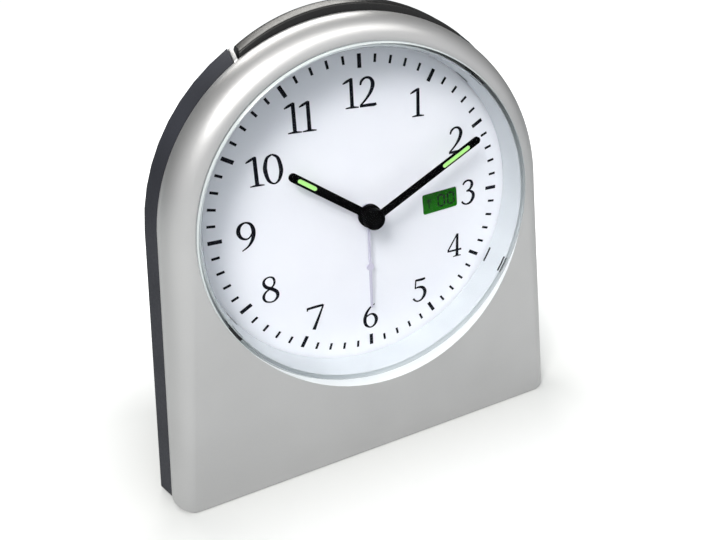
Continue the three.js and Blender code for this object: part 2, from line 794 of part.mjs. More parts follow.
function stator() {
  const sheet = new THREE.Shape();
  const left = coreX - STATOR_BAR / 2;
  const right = rotorAt[0] + STATOR_RIGHT;
  sheet.moveTo(left, statorLow);
  sheet.lineTo(right, statorLow);
  sheet.lineTo(right, statorHigh);
  sheet.lineTo(left, statorHigh);
  sheet.closePath();
  const window = block(
    left + STATOR_BAR,
    right - STATOR_BAR,
    statorY - 1,
    statorY + STATOR_SHEET + 1,
    statorWindowLow,
    statorHigh - STATOR_BAR,
  );
  return cut(
    prism(sheet, statorY, statorY + STATOR_SHEET),
    window,
    rod(...rotorAt, rotorHole, statorY - 1, statorY + STATOR_SHEET + 1, RING_SIDES),
  );
}

function motorCoil() {
  const bore = [STATOR_BAR / 2 + FIT, STATOR_SHEET / 2 + FIT];
  const middleY = statorY + STATOR_SHEET / 2;
  const low = statorWindowLow + FIT;
  const high = statorHigh - STATOR_BAR - FIT;
  const spool = (grow, z0, z1) => block(
    coreX - bore[0] - grow,
    coreX + bore[0] + grow,
    middleY - bore[1] - grow,
    middleY + bore[1] + grow,
    z0,
    z1,
  );
  const cheek = WINDING + FIT;
  return cut(
    join(spool(WINDING, low, high), spool(cheek, low, low + 1), spool(cheek, high - 1, high)),
    spool(0, low - 1, high + 1),
  );
}

const minuteTip = pitchRadius(MINUTE_TEETH) + WHEEL_TOOTH.tip * TOOTH_MODULE;
const boxRight = minuteTip + FIT + BOX_WALL;
const boxLow = DIAL_HEIGHT - BOX_BELOW;
const boxHigh = DIAL_HEIGHT + BOX_ABOVE;
const boxRect = (inset) => roundedRect(
  -BOX_LEFT + inset,
  boxRight - inset,
  boxLow + inset,
  boxHigh - inset,
  BOX_CORNER - inset,
);
const pivots = [trainAt, rotorAt, settingAt];

function movementBase() {
  const wallBackY = coverY - FIT;
  const body = cut(
    prism(boxRect(0), boxY, wallBackY, 3),
    prism(boxRect(BOX_WALL), boxY + PLATE, wallBackY + 1, 3),
    rod(0, DIAL_HEIGHT, alarmPipe + FIT, boxY - 1, boxY + PLATE + 1),
    ...pivots.map((at) => rod(...at, SHAFT + FIT, boxY + PLATE - BEARING_DEPTH - FIT, boxY + PLATE + 1)),
  );
  return join(body, rod(...motionAt, STUD, boxY + PLATE / 2, layerY(MOTION_LAYER) + WHEEL));
}

function movementCover() {
  return cut(
    prism(boxRect(0), coverY, boxBackY, 3),
    rod(...settingAt, SHAFT + FIT, coverY - 1, boxBackY + 1),
    ...[centre, trainAt, rotorAt].map((at) => (
      rod(...at, ARBOR + FIT, coverY - 1, coverY + BEARING_DEPTH + FIT)
    )),
  );
}

// Rear case

const bayHalf = CELL_LENGTH / 2 + CONTACT_ROOM;
const bayHigh = BAY_BASE + 4 * CELL_RADIUS + 3 * CELL_GAP;
const bayFrontY = rearY - DOOR - FIT - 2 * CELL_RADIUS - 2 * CELL_GAP;
const hingeZ = BAY_BASE + FIT + DOOR_PIN;
const hingeY = rearY - DOOR_PIN;
const cellHeights = [
  BAY_BASE + CELL_GAP + CELL_RADIUS,
  BAY_BASE + 2 * CELL_GAP + 3 * CELL_RADIUS,
];

const innerRadius = ARCH_RADIUS - BODY_INSET - CASE_WALL;
const bodyY = flangeBackY + FLANGE_STEP;
const taperAt = (y) => BODY_TAPER * Math.max(0, (y - bodyY) / (rearInnerY - bodyY));
const barInner = ARCH_RADIUS + BAR_HEIGHT - BAR_BODY;
const hollowAt = (y) => innerRadius - taperAt(y);

// The board and the antenna hang from the arch: its radius sets their heights.
const boardHigh = archHeight + Math.sqrt(hollowAt(boardBackY) ** 2 - BOARD_RIGHT ** 2) - BOARD_CLEAR;
const boardLow = boardHigh - BOARD_HEIGHT;
const slideZ = boardHigh - SLIDE_DROP;
const buttonZ = (name) => boardHigh - BUTTON_DROPS[name];
const rodRoom = hollowAt(rodY + ROD_RADIUS);
const rodZ = archHeight + rodRoom - coilRadius - ROD_HEADROOM;
const rodHalf = Math.sqrt(rodRoom ** 2 - (rodZ + ROD_RADIUS - archHeight) ** 2) - ROD_END_GAP;

const notchFloor = barInner - BAR_TRAVEL - FIT;
const barBackY = flangeY + BAR_DEPTH;
const switchY = dialBackY + FIT + CRADLE_WALL + FIT + SWITCH_SIDE / 2;
const footCeiling = innerRadius - taperAt(switchY + FOOT_DEPTH / 2) - FIT;
const footTop = archHeight + Math.sqrt(footCeiling ** 2 - FOOT_HALF_WIDTH ** 2);
const footLow = footTop - FOOT_HEIGHT;
const switchTop = footLow - BAR_TRAVEL - PRESS_STOP;
const switchLow = switchTop - SWITCH_RISE - SWITCH_BODY;
const cradleInner = FOOT_HALF_WIDTH + FIT;
const stemY = barBackY - FIT - STEM_DEPTH / 2;

function rearSkin() {
  const inset = -BODY_INSET - BODY_TAPER;
  const flangeBase = { corner: FLANGE_CORNER, base: 0 };
  const bodyBase = { corner: BODY_CORNER, base: 0 };
  const rings = [
    { y: flangeY, offset: 0, ...flangeBase },
    { y: flangeBackY - FLANGE_EDGE, offset: FLANGE_OVERHANG, ...flangeBase },
    { y: flangeBackY, offset: FLANGE_OVERHANG - FLANGE_EDGE, ...flangeBase },
    { y: bodyY, offset: -BODY_INSET, ...bodyBase },
  ];
  const turns = 3;
  for (let i = 0; i <= turns; i += 1) {
    const t = (i / turns) * Math.PI / 2;
    rings.push({
      y: rearY - BODY_ROUND * (1 - Math.sin(t)),
      offset: inset - BODY_ROUND * (1 - Math.cos(t)),
      corner: BODY_CORNER,
      base: REAR_LIFT * (1 - Math.cos(t)),
    });
  }
  return archLoft(rings);
}

function rearHollow() {
  const inner = -BODY_INSET - CASE_WALL;
  const floor = { corner: BODY_CORNER, base: CASE_WALL };
  return archLoft([
    { y: flangeY - 1, offset: inner + DIAL_ROOM, ...floor },
    { y: dialBackY + FIT, offset: inner + DIAL_ROOM, ...floor },
    { y: bodyY, offset: inner, ...floor },
    { y: rearInnerY, offset: inner - BODY_TAPER, ...floor },
  ]);
}

function snoozeCradle() {
  const front = switchY - SWITCH_SIDE / 2 - FIT;
  const back = switchY + SWITCH_SIDE / 2 + FIT;
  const floorZ = switchLow - FIT;
  const outer = cradleInner + CRADLE_WALL;
  const ceiling = archHeight + innerRadius + FIT;
  return join(
    block(-outer, outer, front, back, floorZ - CRADLE_WALL, floorZ),
    block(-outer, -cradleInner, front, back, floorZ - CRADLE_WALL, ceiling),
    block(cradleInner, outer, front, back, floorZ - CRADLE_WALL, ceiling),
  );
}

const movementPosts = [
  [-BOX_LEFT + POST_RADIUS + BOX_WALL, boxLow + POST_RADIUS + BOX_WALL],
  [-BOX_LEFT + POST_RADIUS + BOX_WALL, boxHigh - POST_RADIUS - BOX_WALL],
  [boxRight - POST_RADIUS - BOX_WALL, boxLow + POST_RADIUS + BOX_WALL],
];
const boardPosts = [
  [BOARD_RIGHT - POST_RADIUS, boardLow + POST_RADIUS],
  [BOARD_RIGHT - POST_RADIUS, boardHigh - POST_RADIUS],
];
const buttonNames = Object.keys(BUTTON_DROPS);
const slideRoom = SLIDE_LENGTH / 2 + SLIDE_TRAVEL;
const buzzerAt = [BUZZER_X, DIAL_HEIGHT];
const buzzerRoom = BUZZER_RADIUS + 2 * FIT;

function antennaRib(side) {
  const x = side * (COIL_LENGTH / 2 + FIT + CRADLE_RIB);
  const half = CRADLE_RIB / 2;
  return cut(
    block(x - half, x + half, rodY, rearInnerY + FIT, rodZ - coilRadius, rodZ + coilRadius),
    crossRod(x - CRADLE_RIB, x + CRADLE_RIB, rodY, rodZ, ROD_RADIUS + FIT, RING_SIDES),
  );
}

function rearCase() {
  const inside = rearHollow();
  const bayOuter = bayHalf + DOOR_PIN_LENGTH + 2 * FIT;
  const fittings = join(
    block(-bayOuter, bayOuter, bayFrontY - BAY_WALL, rearY - BODY_ROUND, CASE_WALL / 2, bayHigh + BAY_WALL),
    ...screwPlaces.map(([, x, z]) => rod(x, z, rearBossRadius, flangeY, rearInnerY + FIT)),
    ...movementPosts.map(([x, z]) => rod(x, z, POST_RADIUS, boxBackY + FIT, rearInnerY + FIT)),
    ...boardPosts.map(([x, z]) => rod(x, z, POST_RADIUS, boardBackY + FIT, rearInnerY + FIT)),
    cut(
      rod(...buzzerAt, buzzerRoom + BOX_WALL, rearInnerY - BUZZER_DEPTH, rearInnerY + FIT, CELL_SIDES),
      rod(...buzzerAt, buzzerRoom, rearInnerY - BUZZER_DEPTH - 1, rearInnerY + 1, CELL_SIDES),
    ),
    antennaRib(-1),
    antennaRib(1),
  );
  const skin = rearSkin();
  const body = join(cut(skin, inside), fittings.intersect(skin), snoozeCradle());
  const notchHalf = earOuter + FIT;
  const notch = cut(
    block(-notchHalf, notchHalf, flangeY - 2, barBackY + FIT, archHeight, 2 * archHeight),
    rod(0, archHeight, notchFloor, flangeY - 3, barBackY + 1, DISC_SIDES),
  );
  const stemSlot = block(
    -STEM_HALF_WIDTH - FIT,
    STEM_HALF_WIDTH + FIT,
    stemY - STEM_DEPTH / 2 - FIT,
    stemY + STEM_DEPTH / 2 + FIT,
    archHeight + innerRadius - 2,
    2 * archHeight,
  );
  const bay = block(-bayHalf, bayHalf, bayFrontY, rearY + 1, BAY_BASE, bayHigh);
  const pinReach = bayHalf + DOOR_PIN_LENGTH;
  const tools = [
    notch,
    stemSlot,
    bay,
    crossRod(-pinReach, pinReach, hingeY, hingeZ, DOOR_PIN + FIT),
    rod(0, bayHigh, BODY_ROUND, rearY - 1, rearY + 1, RING_SIDES),
    rod(...settingAt, SHAFT + FIT, rearInnerY - 1, rearY + 1),
    block(
      CONTROL_X - SLIDE_LENGTH / 2 - FIT,
      CONTROL_X + slideRoom + FIT,
      rearInnerY - 1,
      rearY + 1,
      slideZ - SLIDE_WIDTH / 2 - FIT,
      slideZ + SLIDE_WIDTH / 2 + FIT,
    ),
    ...buttonNames.map((name) => rod(
      CONTROL_X,
      buttonZ(name),
      BUTTON_RADII[name] + FIT,
      rearInnerY - 1,
      rearY + 1,
      BUTTON_SIDES,
    )),
    rod(...buzzerAt, SOUND_HOLE, rearInnerY - 1, rearY + 1),
  ];
  for (let i = 0; i < 6; i += 1) {
    const at = clockPoint(60 * i, SOUND_RING, buzzerAt);
    tools.push(rod(...at, SOUND_HOLE, rearInnerY - 1, rearY + 1));
  }
  for (const [, x, z] of screwPlaces) {
    tools.push(rod(x, z, SCREW_HEAD + FIT, flangeY + SCREW_SEAT, rearY + 1));
    tools.push(rod(x, z, SCREW_RADIUS + FIT, flangeY - 1, flangeY + SCREW_SEAT + 1));
  }
  return cut(body, ...tools);
}

function caseScrew([, x, z]) {
  const headY = flangeY + SCREW_SEAT + FIT;
  const soft = SCREW_HEAD_DEPTH / 3;
  return turned([
    [0, screwTipY],
    [SCREW_RADIUS, screwTipY + SCREW_RADIUS],
    [SCREW_RADIUS, headY],
    [SCREW_HEAD, headY],
    [SCREW_HEAD, headY + SCREW_HEAD_DEPTH - soft],
    [SCREW_HEAD - soft, headY + SCREW_HEAD_DEPTH],
    [0, headY + SCREW_HEAD_DEPTH],
  ], x, z, SMALL_SIDES);
}

// Snooze bar

function snoozeBar() {
  const outer = ARCH_RADIUS + BAR_HEIGHT;
  const ring = turned([
    [barInner, flangeY],
    [outer - BAR_CROWN, flangeY],
    [outer - BAR_CROWN * 0.25, flangeY + BAR_DEPTH * 0.12],
    [outer, flangeY + BAR_DEPTH * 0.35],
    [outer - BAR_CROWN * 0.35, flangeY + BAR_DEPTH * 0.75],
    [outer - BAR_CROWN * 1.6, barBackY],
    [barInner, barBackY],
    [barInner, flangeY],
  ], 0, archHeight, 72);
  const span = block(
    -BAR_HALF_WIDTH,
    BAR_HALF_WIDTH,
    flangeY - 1,
    barBackY + 1,
    archHeight + ARCH_RADIUS / 2,
    2 * archHeight,
  );
  const stem = block(
    -STEM_HALF_WIDTH,
    STEM_HALF_WIDTH,
    stemY - STEM_DEPTH / 2,
    stemY + STEM_DEPTH / 2,
    footLow,
    archHeight + barInner + BAR_BODY / 3,
  );
  const foot = block(
    -FOOT_HALF_WIDTH,
    FOOT_HALF_WIDTH,
    switchY - FOOT_DEPTH / 2,
    switchY + FOOT_DEPTH / 2,
    footLow,
    footTop,
  );
  return join(ring.intersect(span), stem, foot);
}

// Electronics

function tactSwitch(x, z) {
  const half = SWITCH_SIDE / 2;
  const backY = boardBackY + FIT + SWITCH_BODY;
  return join(
    block(x - half, x + half, boardBackY + FIT, backY, z - half, z + half),
    rod(x, z, SWITCH_PLUNGER, backY - 1, backY + SWITCH_RISE),
  );
}

function snoozeSwitch() {
  const half = SWITCH_SIDE / 2;
  const plunger = new THREE.CylinderGeometry(SWITCH_PLUNGER, SWITCH_PLUNGER, SWITCH_RISE + 1, SMALL_SIDES);
  plunger.rotateX(Math.PI / 2);
  plunger.translate(0, switchY, switchTop - (SWITCH_RISE + 1) / 2);
  return join(
    block(-half, half, switchY - half, switchY + half, switchLow, switchLow + SWITCH_BODY),
    solid(plunger),
  );
}

const boardLeft = boxRight + BOARD_LEFT_GAP;

function circuitBoard() {
  return prism(roundedRect(boardLeft, BOARD_RIGHT, boardLow, boardHigh, 1), boardY, boardBackY, 2);
}

function onBoard([width, depth, height], x, z) {
  const front = boardBackY + FIT;
  return block(x - width / 2, x + width / 2, front, front + depth, z - height / 2, z + height / 2);
}

function pushButton(name) {
  const x = CONTROL_X;
  const z = buttonZ(name);
  const radius = BUTTON_RADII[name];
  const stopY = rearInnerY - FIT;
  const tipY = boardBackY + FIT + SWITCH_BODY + SWITCH_RISE + BUTTON_TRAVEL + PRESS_STOP;
  const soft = BUTTON_PROUD / 3;
  return turned([
    [0, tipY],
    [BUTTON_STEM, tipY],
    [BUTTON_STEM, stopY - BUTTON_FLANGE],
    [radius + BUTTON_FLANGE, stopY - BUTTON_FLANGE],
    [radius + BUTTON_FLANGE, stopY],
    [radius, stopY],
    [radius, rearY + BUTTON_PROUD - soft],
    [radius - soft, rearY + BUTTON_PROUD],
    [0, rearY + BUTTON_PROUD],
  ], x, z, BUTTON_SIDES);
}

function alarmSlide() {
  const x = CONTROL_X;
  const stopY = rearInnerY - FIT;
  const half = SLIDE_WIDTH / 2;
  const tipY = boardBackY + FIT + SLIDE_SWITCH[1] + FIT;
  const bar = (front, back, rise) => block(
    x - SLIDE_LENGTH / 2,
    x + SLIDE_LENGTH / 2,
    front,
    back,
    slideZ - rise,
    slideZ + rise,
  );
  const ridges = [-1, 0, 1].map((i) => block(
    x + i * 1.4 - 0.3,
    x + i * 1.4 + 0.3,
    rearY + SLIDE_PROUD / 2,
    rearY + SLIDE_PROUD,
    slideZ - half,
    slideZ + half,
  ));
  return join(
    bar(stopY - 1, rearY + SLIDE_PROUD * 0.6, half),
    bar(stopY - 1, stopY, half + 1),
    block(x - 1, x + 1, tipY, stopY, slideZ - 1, slideZ + 1),
    ...ridges,
  );
}

function alarmSetKnob() {
  const shape = new THREE.Shape();
  const steps = 4 * KNOB_RIBS;
  for (let i = 0; i < steps; i += 1) {
    const radius = KNOB_RADIUS - (i % 4 < 2 ? 0 : KNOB_RIB);
    const [x, z] = clockPoint((360 * i) / steps, radius, settingAt);
    if (i === 0) shape.moveTo(x, z);
    else shape.lineTo(x, z);
  }
  const end = rearY + KNOB_DEPTH;
  return cut(
    join(
      prism(shape, rearY + FIT + 1, end),
      rod(...settingAt, KNOB_RADIUS - 2 * KNOB_RIB, rearY + FIT, end - 1, CELL_SIDES),
    ),
    rod(...settingAt, SHAFT + FIT, rearY - 1, rearY + KNOB_DEPTH / 2 + FIT),
    rod(...settingAt, KNOB_RADIUS - 4 * KNOB_RIB, end - KNOB_DISH, end + 1, CELL_SIDES),
  );
}

function buzzer() {
  const back = rearInnerY - FIT;
  return join(
    rod(...buzzerAt, BUZZER_RADIUS, back - BUZZER_DEPTH / 2, back, CELL_SIDES),
    rod(...buzzerAt, BUZZER_RADIUS * 0.7, back - BUZZER_DEPTH, back - BUZZER_DEPTH / 3, CELL_SIDES),
  );
}

function antennaRod() {
  return crossRod(-rodHalf, rodHalf, rodY, rodZ, ROD_RADIUS, CELL_SIDES);
}

function antennaCoil() {
  return cut(
    crossRod(-COIL_LENGTH / 2, COIL_LENGTH / 2, rodY, rodZ, coilRadius, CELL_SIDES),
    crossRod(-COIL_LENGTH, COIL_LENGTH, rodY, rodZ, ROD_RADIUS + FIT, CELL_SIDES),
  );
}

// Batteries and contacts

const cellY = bayFrontY + CELL_GAP + CELL_RADIUS;

// A round cell along X, its nub towards the given side.
function cell(z, side) {
  const half = CELL_LENGTH / 2;
  const profile = [
    [0, -half],
    [CELL_RADIUS - 0.5, -half],
    [CELL_RADIUS, -half + 0.5],
    [CELL_RADIUS, half - CELL_NUB - 0.5],
    [CELL_RADIUS - 0.5, half - CELL_NUB],
    [CELL_NUB_RADIUS, half - CELL_NUB],
    [CELL_NUB_RADIUS, half],
    [0, half],
  ];
  const geometry = new THREE.LatheGeometry(profile.map(([r, y]) => new THREE.Vector2(r, y)), CELL_SIDES);
  geometry.rotateZ(side > 0 ? -Math.PI / 2 : Math.PI / 2);
  geometry.translate(0, cellY, z);
  return solid(geometry);
}

// A plate against the end of the bay, with a sprung tongue towards a cell.
function contact(side, heights) {
  const wall = bayHalf - FIT;
  const low = Math.min(...heights) - CONTACT_WIDTH / 2;
  const high = Math.max(...heights) + CONTACT_WIDTH / 2;
  const half = CONTACT_WIDTH / 2;
  const reach = CONTACT_ROOM - 2 * FIT;
  const across = (x0, x1, y0, y1, z0, z1) => (
    side > 0 ? block(x0, x1, y0, y1, z0, z1) : block(-x1, -x0, y0, y1, z0, z1)
  );
  const plate = across(wall - CONTACT_SHEET, wall, cellY - half, cellY + half, low, high);
  const tongues = heights.map((z) => {
    const shape = new THREE.Shape();
    shape.moveTo(wall - CONTACT_SHEET / 2, cellY - half + CONTACT_SHEET);
    shape.lineTo(wall - reach, cellY);
    shape.lineTo(wall - CONTACT_SHEET / 2, cellY + half - CONTACT_SHEET);
    shape.lineTo(wall - CONTACT_SHEET / 2, cellY + half - 2.5 * CONTACT_SHEET);
    shape.lineTo(wall - reach + 1.6 * CONTACT_SHEET, cellY);
    shape.lineTo(wall - CONTACT_SHEET / 2, cellY - half + 2.5 * CONTACT_SHEET);
    shape.closePath();
    const geometry = new THREE.ExtrudeGeometry(shape, { depth: half, bevelEnabled: false });
    geometry.translate(0, 0, z - half / 2);
    const tongue = solid(geometry);
    return side > 0 ? tongue : tongue.mirror([1, 0, 0]);
  });
  return join(plate, ...tongues);
}

function batteryDoor() {
  const half = bayHalf - FIT;
  const top = bayHigh - FIT;
  const pinReach = half + DOOR_PIN_LENGTH;
  const ribs = [0, 1, 2].map((i) => block(
    -6,
    6,
    rearY - DOOR / 2,
    rearY + DOOR_RIB,
    top - 3.2 - 2 * i,
    top - 2.4 - 2 * i,
  ));
  return join(
    block(-half, half, rearY - DOOR, rearY, hingeZ, top),
    crossRod(-half, half, hingeY, hingeZ, DOOR_PIN),
    crossRod(-pinReach, pinReach, hingeY, hingeZ, DOOR_PIN - FIT / 2),
    ...ribs,
  );
}

// The assembly

const clock = new THREE.Group();

function add(name, body, colour, roughness, metalness = 0) {
  const material = new THREE.MeshStandardMaterial({ color: colour, roughness, metalness });
  const mesh = new THREE.Mesh(geometryOf(body), material);
  mesh.name = name;
  clock.add(mesh);
  return mesh;
}

const SILVER = 0xb4b4b2;
const CHARCOAL = 0x44464c;
const BLACK = 0x141416;
const BRASS = 0xb8924a;
const STEEL = 0xa9abad;
const NICKEL = 0xc9c9c4;
const WHITE_ACETAL = 0xe9e6dc;
const LUME = 0xc4f59a;

add('front_housing', frontHousing(), SILVER, 0.4, 0.3);
add('rear_case', rearCase(), CHARCOAL, 0.5);
const lensMesh = add('lens', lens(), 0xf4f8fb, 0.05);
lensMesh.material.transparent = true;
lensMesh.material.opacity = 0.25;
add('dial', dial(), 0xf8f8fb, 0.6);
add('display_panel', displayPanel(), 0x1e7a1c, 0.2);
add('display_light_guide', displayLightGuide(), 0xd9efe0, 0.15);
add('minute_hand', slottedHand(minuteForm), BLACK, 0.45);
add('minute_hand_lume', lumeInlay(minuteForm), LUME, 0.7);
add('hour_hand', slottedHand(hourForm), BLACK, 0.45);
add('hour_hand_lume', lumeInlay(hourForm), LUME, 0.7);
add('alarm_hand', alarmHand(), 0xb3b0bd, 0.4);
add('minute_wheel', minuteWheel(), BRASS, 0.35, 0.9);
add('motion_wheel', motionWheel(), WHITE_ACETAL, 0.6);
add('hour_wheel', hourWheel(), WHITE_ACETAL, 0.6);
add('alarm_wheel', alarmWheel(), WHITE_ACETAL, 0.6);
add('train_wheel', trainWheel(), WHITE_ACETAL, 0.6);
add('motor_rotor', rotor(), 0x3a3b40, 0.4, 0.5);
add('motor_stator', stator(), STEEL, 0.4, 0.8);
add('motor_coil', motorCoil(), 0xa0552b, 0.35, 0.6);
add('movement_base', movementBase(), 0x2b2c30, 0.55);
add('movement_cover', movementCover(), 0x2b2c30, 0.55);
add('alarm_set_shaft', alarmSetShaft(), WHITE_ACETAL, 0.6);
add('alarm_set_knob', alarmSetKnob(), BLACK, 0.5);
add('alarm_slide', alarmSlide(), BLACK, 0.5);
add('alarm_switch', onBoard(SLIDE_SWITCH, CONTROL_X + SLIDE_TRAVEL / 2, slideZ), STEEL, 0.4, 0.8);
for (const name of buttonNames) {
  add(`${name}_button`, pushButton(name), BLACK, 0.5);
  add(`${name}_switch`, tactSwitch(CONTROL_X, buttonZ(name)), BLACK, 0.4);
}
add('circuit_board', circuitBoard(), 0x2f6b3a, 0.5);
const chipX = BOARD_RIGHT - CHIP[0] / 2 - FIT;
const chipZ = boardHigh - CHIP_DROP;
const crystalZ = chipZ - CHIP[2] / 2 - CRYSTAL_GAP - CRYSTAL_LENGTH / 2;
add('control_chip', onBoard(CHIP, chipX, chipZ), BLACK, 0.35);
const crystalSize = [2 * CRYSTAL_RADIUS, 2 * CRYSTAL_RADIUS, CRYSTAL_LENGTH];
add('timing_crystal', onBoard(crystalSize, chipX, crystalZ), NICKEL, 0.25, 0.9);
add('snooze_bar', snoozeBar(), BLACK, 0.35);
add('snooze_switch', snoozeSwitch(), BLACK, 0.4);
add('antenna_rod', antennaRod(), 0x3b3d41, 0.6);
add('antenna_coil', antennaCoil(), 0xa0552b, 0.35, 0.6);
add('alarm_buzzer', buzzer(), BRASS, 0.3, 0.9);
add('battery_door', batteryDoor(), CHARCOAL, 0.5);
add('battery_lower', cell(cellHeights[0], 1), 0x2f4f7a, 0.35, 0.3);
add('battery_upper', cell(cellHeights[1], -1), 0x2f4f7a, 0.35, 0.3);
add('contact_link', contact(1, cellHeights), NICKEL, 0.3, 0.9);
add('contact_negative', contact(-1, [cellHeights[0]]), NICKEL, 0.3, 0.9);
add('contact_positive', contact(-1, [cellHeights[1]]), NICKEL, 0.3, 0.9);
for (const place of screwPlaces) {
  add(`case_screw_${place[0]}`, caseScrew(place), STEEL, 0.35, 0.9);
}

export default clock;
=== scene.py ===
import bmesh
import bpy
import json
import math
from mathutils import Matrix, Vector


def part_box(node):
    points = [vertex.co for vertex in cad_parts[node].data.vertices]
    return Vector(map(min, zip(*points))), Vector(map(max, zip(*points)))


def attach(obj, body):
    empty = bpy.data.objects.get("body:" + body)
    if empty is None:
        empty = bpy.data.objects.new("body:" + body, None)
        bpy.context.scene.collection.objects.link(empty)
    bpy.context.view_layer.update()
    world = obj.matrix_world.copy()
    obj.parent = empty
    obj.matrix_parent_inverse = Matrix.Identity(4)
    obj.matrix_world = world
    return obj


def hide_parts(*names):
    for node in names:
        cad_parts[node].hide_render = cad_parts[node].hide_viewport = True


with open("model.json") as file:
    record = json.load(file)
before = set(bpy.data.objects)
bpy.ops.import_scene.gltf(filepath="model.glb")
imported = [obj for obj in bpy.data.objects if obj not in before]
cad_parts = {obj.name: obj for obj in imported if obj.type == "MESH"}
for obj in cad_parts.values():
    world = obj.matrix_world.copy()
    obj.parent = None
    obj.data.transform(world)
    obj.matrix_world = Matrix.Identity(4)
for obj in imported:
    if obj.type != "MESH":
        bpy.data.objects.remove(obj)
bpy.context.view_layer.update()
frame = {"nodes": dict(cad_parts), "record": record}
nodes = frame["nodes"]

# Millimetres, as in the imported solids: X right, Y back, Z up. The dial faces -Y.
MM = 0.001
DIAL_Z = 61.6
ARCH_Z = 60.5
ARCH_RADIUS = 45.4
FLARE = math.radians(6.1)  # how far each side leans out towards the base
FACE_Y = -20.85
PARTING_Y = -13.65
FLANGE_Y = -13.35
DIAL_Y = -12.85
WELL_RADIUS = 38.9
WELL_BACK_Y = -13.15
LUG_ANGLES = (40, 118, 242, 320)
LUG_Y = (-16.85, -14.85)
DISPLAY_LEAN = 4.5  # degrees that the display is turned anticlockwise
DIAL_AXIS = Vector((0, 0, DIAL_Z))
ARCH_AXIS = Vector((0, 0, ARCH_Z))
ACROSS = Vector((1, 0, 0))
DEPTH = Vector((0, 1, 0))
MERGE = 1e-4  # vertices this close are one
NEAR = 0.1  # a face's middle this near a wall or a depth lies on it
ON_WALL = 0.05  # a vertex this near a wall lies on it
SHARP = 38.0  # degrees between faces past which an edge is shaded sharp


# Colours and nodes

def hex_colour(text):
    """An sRGB hex colour as linear red, green, blue and alpha."""
    parts = [int(text[i:i + 2], 16) / 255 for i in (1, 3, 5)]
    return [c / 12.92 if c <= 0.04045 else ((c + 0.055) / 1.055) ** 2.4 for c in parts] + [1.0]


def add_node(tree, kind, sockets=None, **settings):
    """Adds a node with its settings, and fills its sockets with values or links."""
    made = tree.nodes.new(kind)
    for key, value in settings.items():
        setattr(made, key, value)
    for key, value in (sockets or {}).items():
        if isinstance(value, bpy.types.NodeSocket):
            tree.links.new(value, made.inputs[key])
        else:
            made.inputs[key].default_value = value
    return made


def per_mm(size):
    """The scale of a pattern on Object coordinates whose features are this many millimetres across."""
    return 1000.0 / size


def start_material(name, **sockets):
    """A material with one Principled shader: the material, its tree, the shader and the object position."""
    made = bpy.data.materials.new(name)
    made.use_nodes = True
    tree = made.node_tree
    shader = tree.nodes["Principled BSDF"]
    for key, value in sockets.items():
        shader.inputs[key.replace("_", " ")].default_value = value
    place = add_node(tree, "ShaderNodeTexCoord").outputs["Object"]
    return made, tree, shader, place


def two_tone(ramp, stops, *colours):
    """Sets the two stops of a colour ramp to hex colours, and returns its colour."""
    for element, stop, colour in zip(ramp.color_ramp.elements, stops, colours):
        element.position = stop
        element.color = hex_colour(colour)
    return ramp.outputs["Color"]


BROAD_MM = 14.0  # the slow change of colour across a moulding
GRAIN_RANGE = (0.3, 0.7)  # holds most of the values of a noise


def moulded(name, low, high, shine, grain_mm, bump_um, metallic=0.0, level=0.5):
    """A surface with a fine grain: two near colours, a spread of roughness and a bump in micrometres."""
    made, tree, shader, place = start_material(name, Metallic=metallic, Specular_IOR_Level=level)
    noises = [add_node(tree, "ShaderNodeTexNoise", {"Vector": place, "Scale": per_mm(size), "Detail": detail})
              for size, detail in ((grain_mm, 2.0), (BROAD_MM, 1.0))]
    fine, broad = (noise.outputs["Fac"] for noise in noises)
    tones = add_node(tree, "ShaderNodeValToRGB", {"Fac": broad})
    rough = add_node(tree, "ShaderNodeMapRange",
                     {"Value": fine, "From Min": GRAIN_RANGE[0], "From Max": GRAIN_RANGE[1],
                      "To Min": shine[0], "To Max": shine[1]})
    bump = add_node(tree, "ShaderNodeBump", {"Height": fine, "Strength": 1.0, "Distance": bump_um * 1e-6})
    tree.links.new(two_tone(tones, GRAIN_RANGE, low, high), shader.inputs["Base Color"])
    tree.links.new(rough.outputs["Result"], shader.inputs["Roughness"])
    tree.links.new(bump.outputs["Normal"], shader.inputs["Normal"])
    return made


def pass_light(tree, surface, tint):
    """Gives a material this surface, and lets lamp light straight through it with a tint."""
    shadow = add_node(tree, "ShaderNodeLightPath").outputs["Is Shadow Ray"]
    through = add_node(tree, "ShaderNodeBsdfTransparent", {"Color": hex_colour(tint)}).outputs["BSDF"]
    mixed = add_node(tree, "ShaderNodeMixShader", {0: shadow, 1: surface, 2: through})
    tree.links.new(mixed.outputs["Shader"], tree.nodes["Material Output"].inputs["Surface"])


# Materials. Real grains are finer than a pixel, so they are drawn coarser here, up to 1.5 mm across, to show.

# Silver lacquer sprayed on moulded ABS: fine metal flakes give a satin shine with broad, soft highlights.
silver_lacquer = moulded("silver_metallic_lacquer_on_moulded_abs", "#b9b9ba", "#bdbdbe", (0.34, 0.42), 0.35,
                         1.2, metallic=0.8)
# ABS moulded in a spark-eroded tool: a fine dull grain that turns pale where light grazes it.
charcoal_abs = moulded("charcoal_abs_spark_grained", "#2a2b31", "#32333a", (0.5, 0.62), 0.5, 6.0, level=0.15)
# ABS from a polished tool: near black, with a clear soft reflection along the crown.
bar_black = moulded("black_abs_semi_gloss", "#090909", "#0e0e0f", (0.26, 0.34), 0.6, 1.5, level=0.38)
# ABS moulded dull, so that fingers find the controls: matt black with a little tooth.
control_black = moulded("black_abs_matt_moulded", "#141416", "#1b1b1e", (0.48, 0.6), 0.4, 5.0)
# Card screen-printed white: very matt, with a trace of paper tooth.
dial_white = moulded("white_dial_card_screen_printed", "#f1f3f6", "#f4f6f8", (0.62, 0.72), 0.3, 0.8,
                     level=0.1)
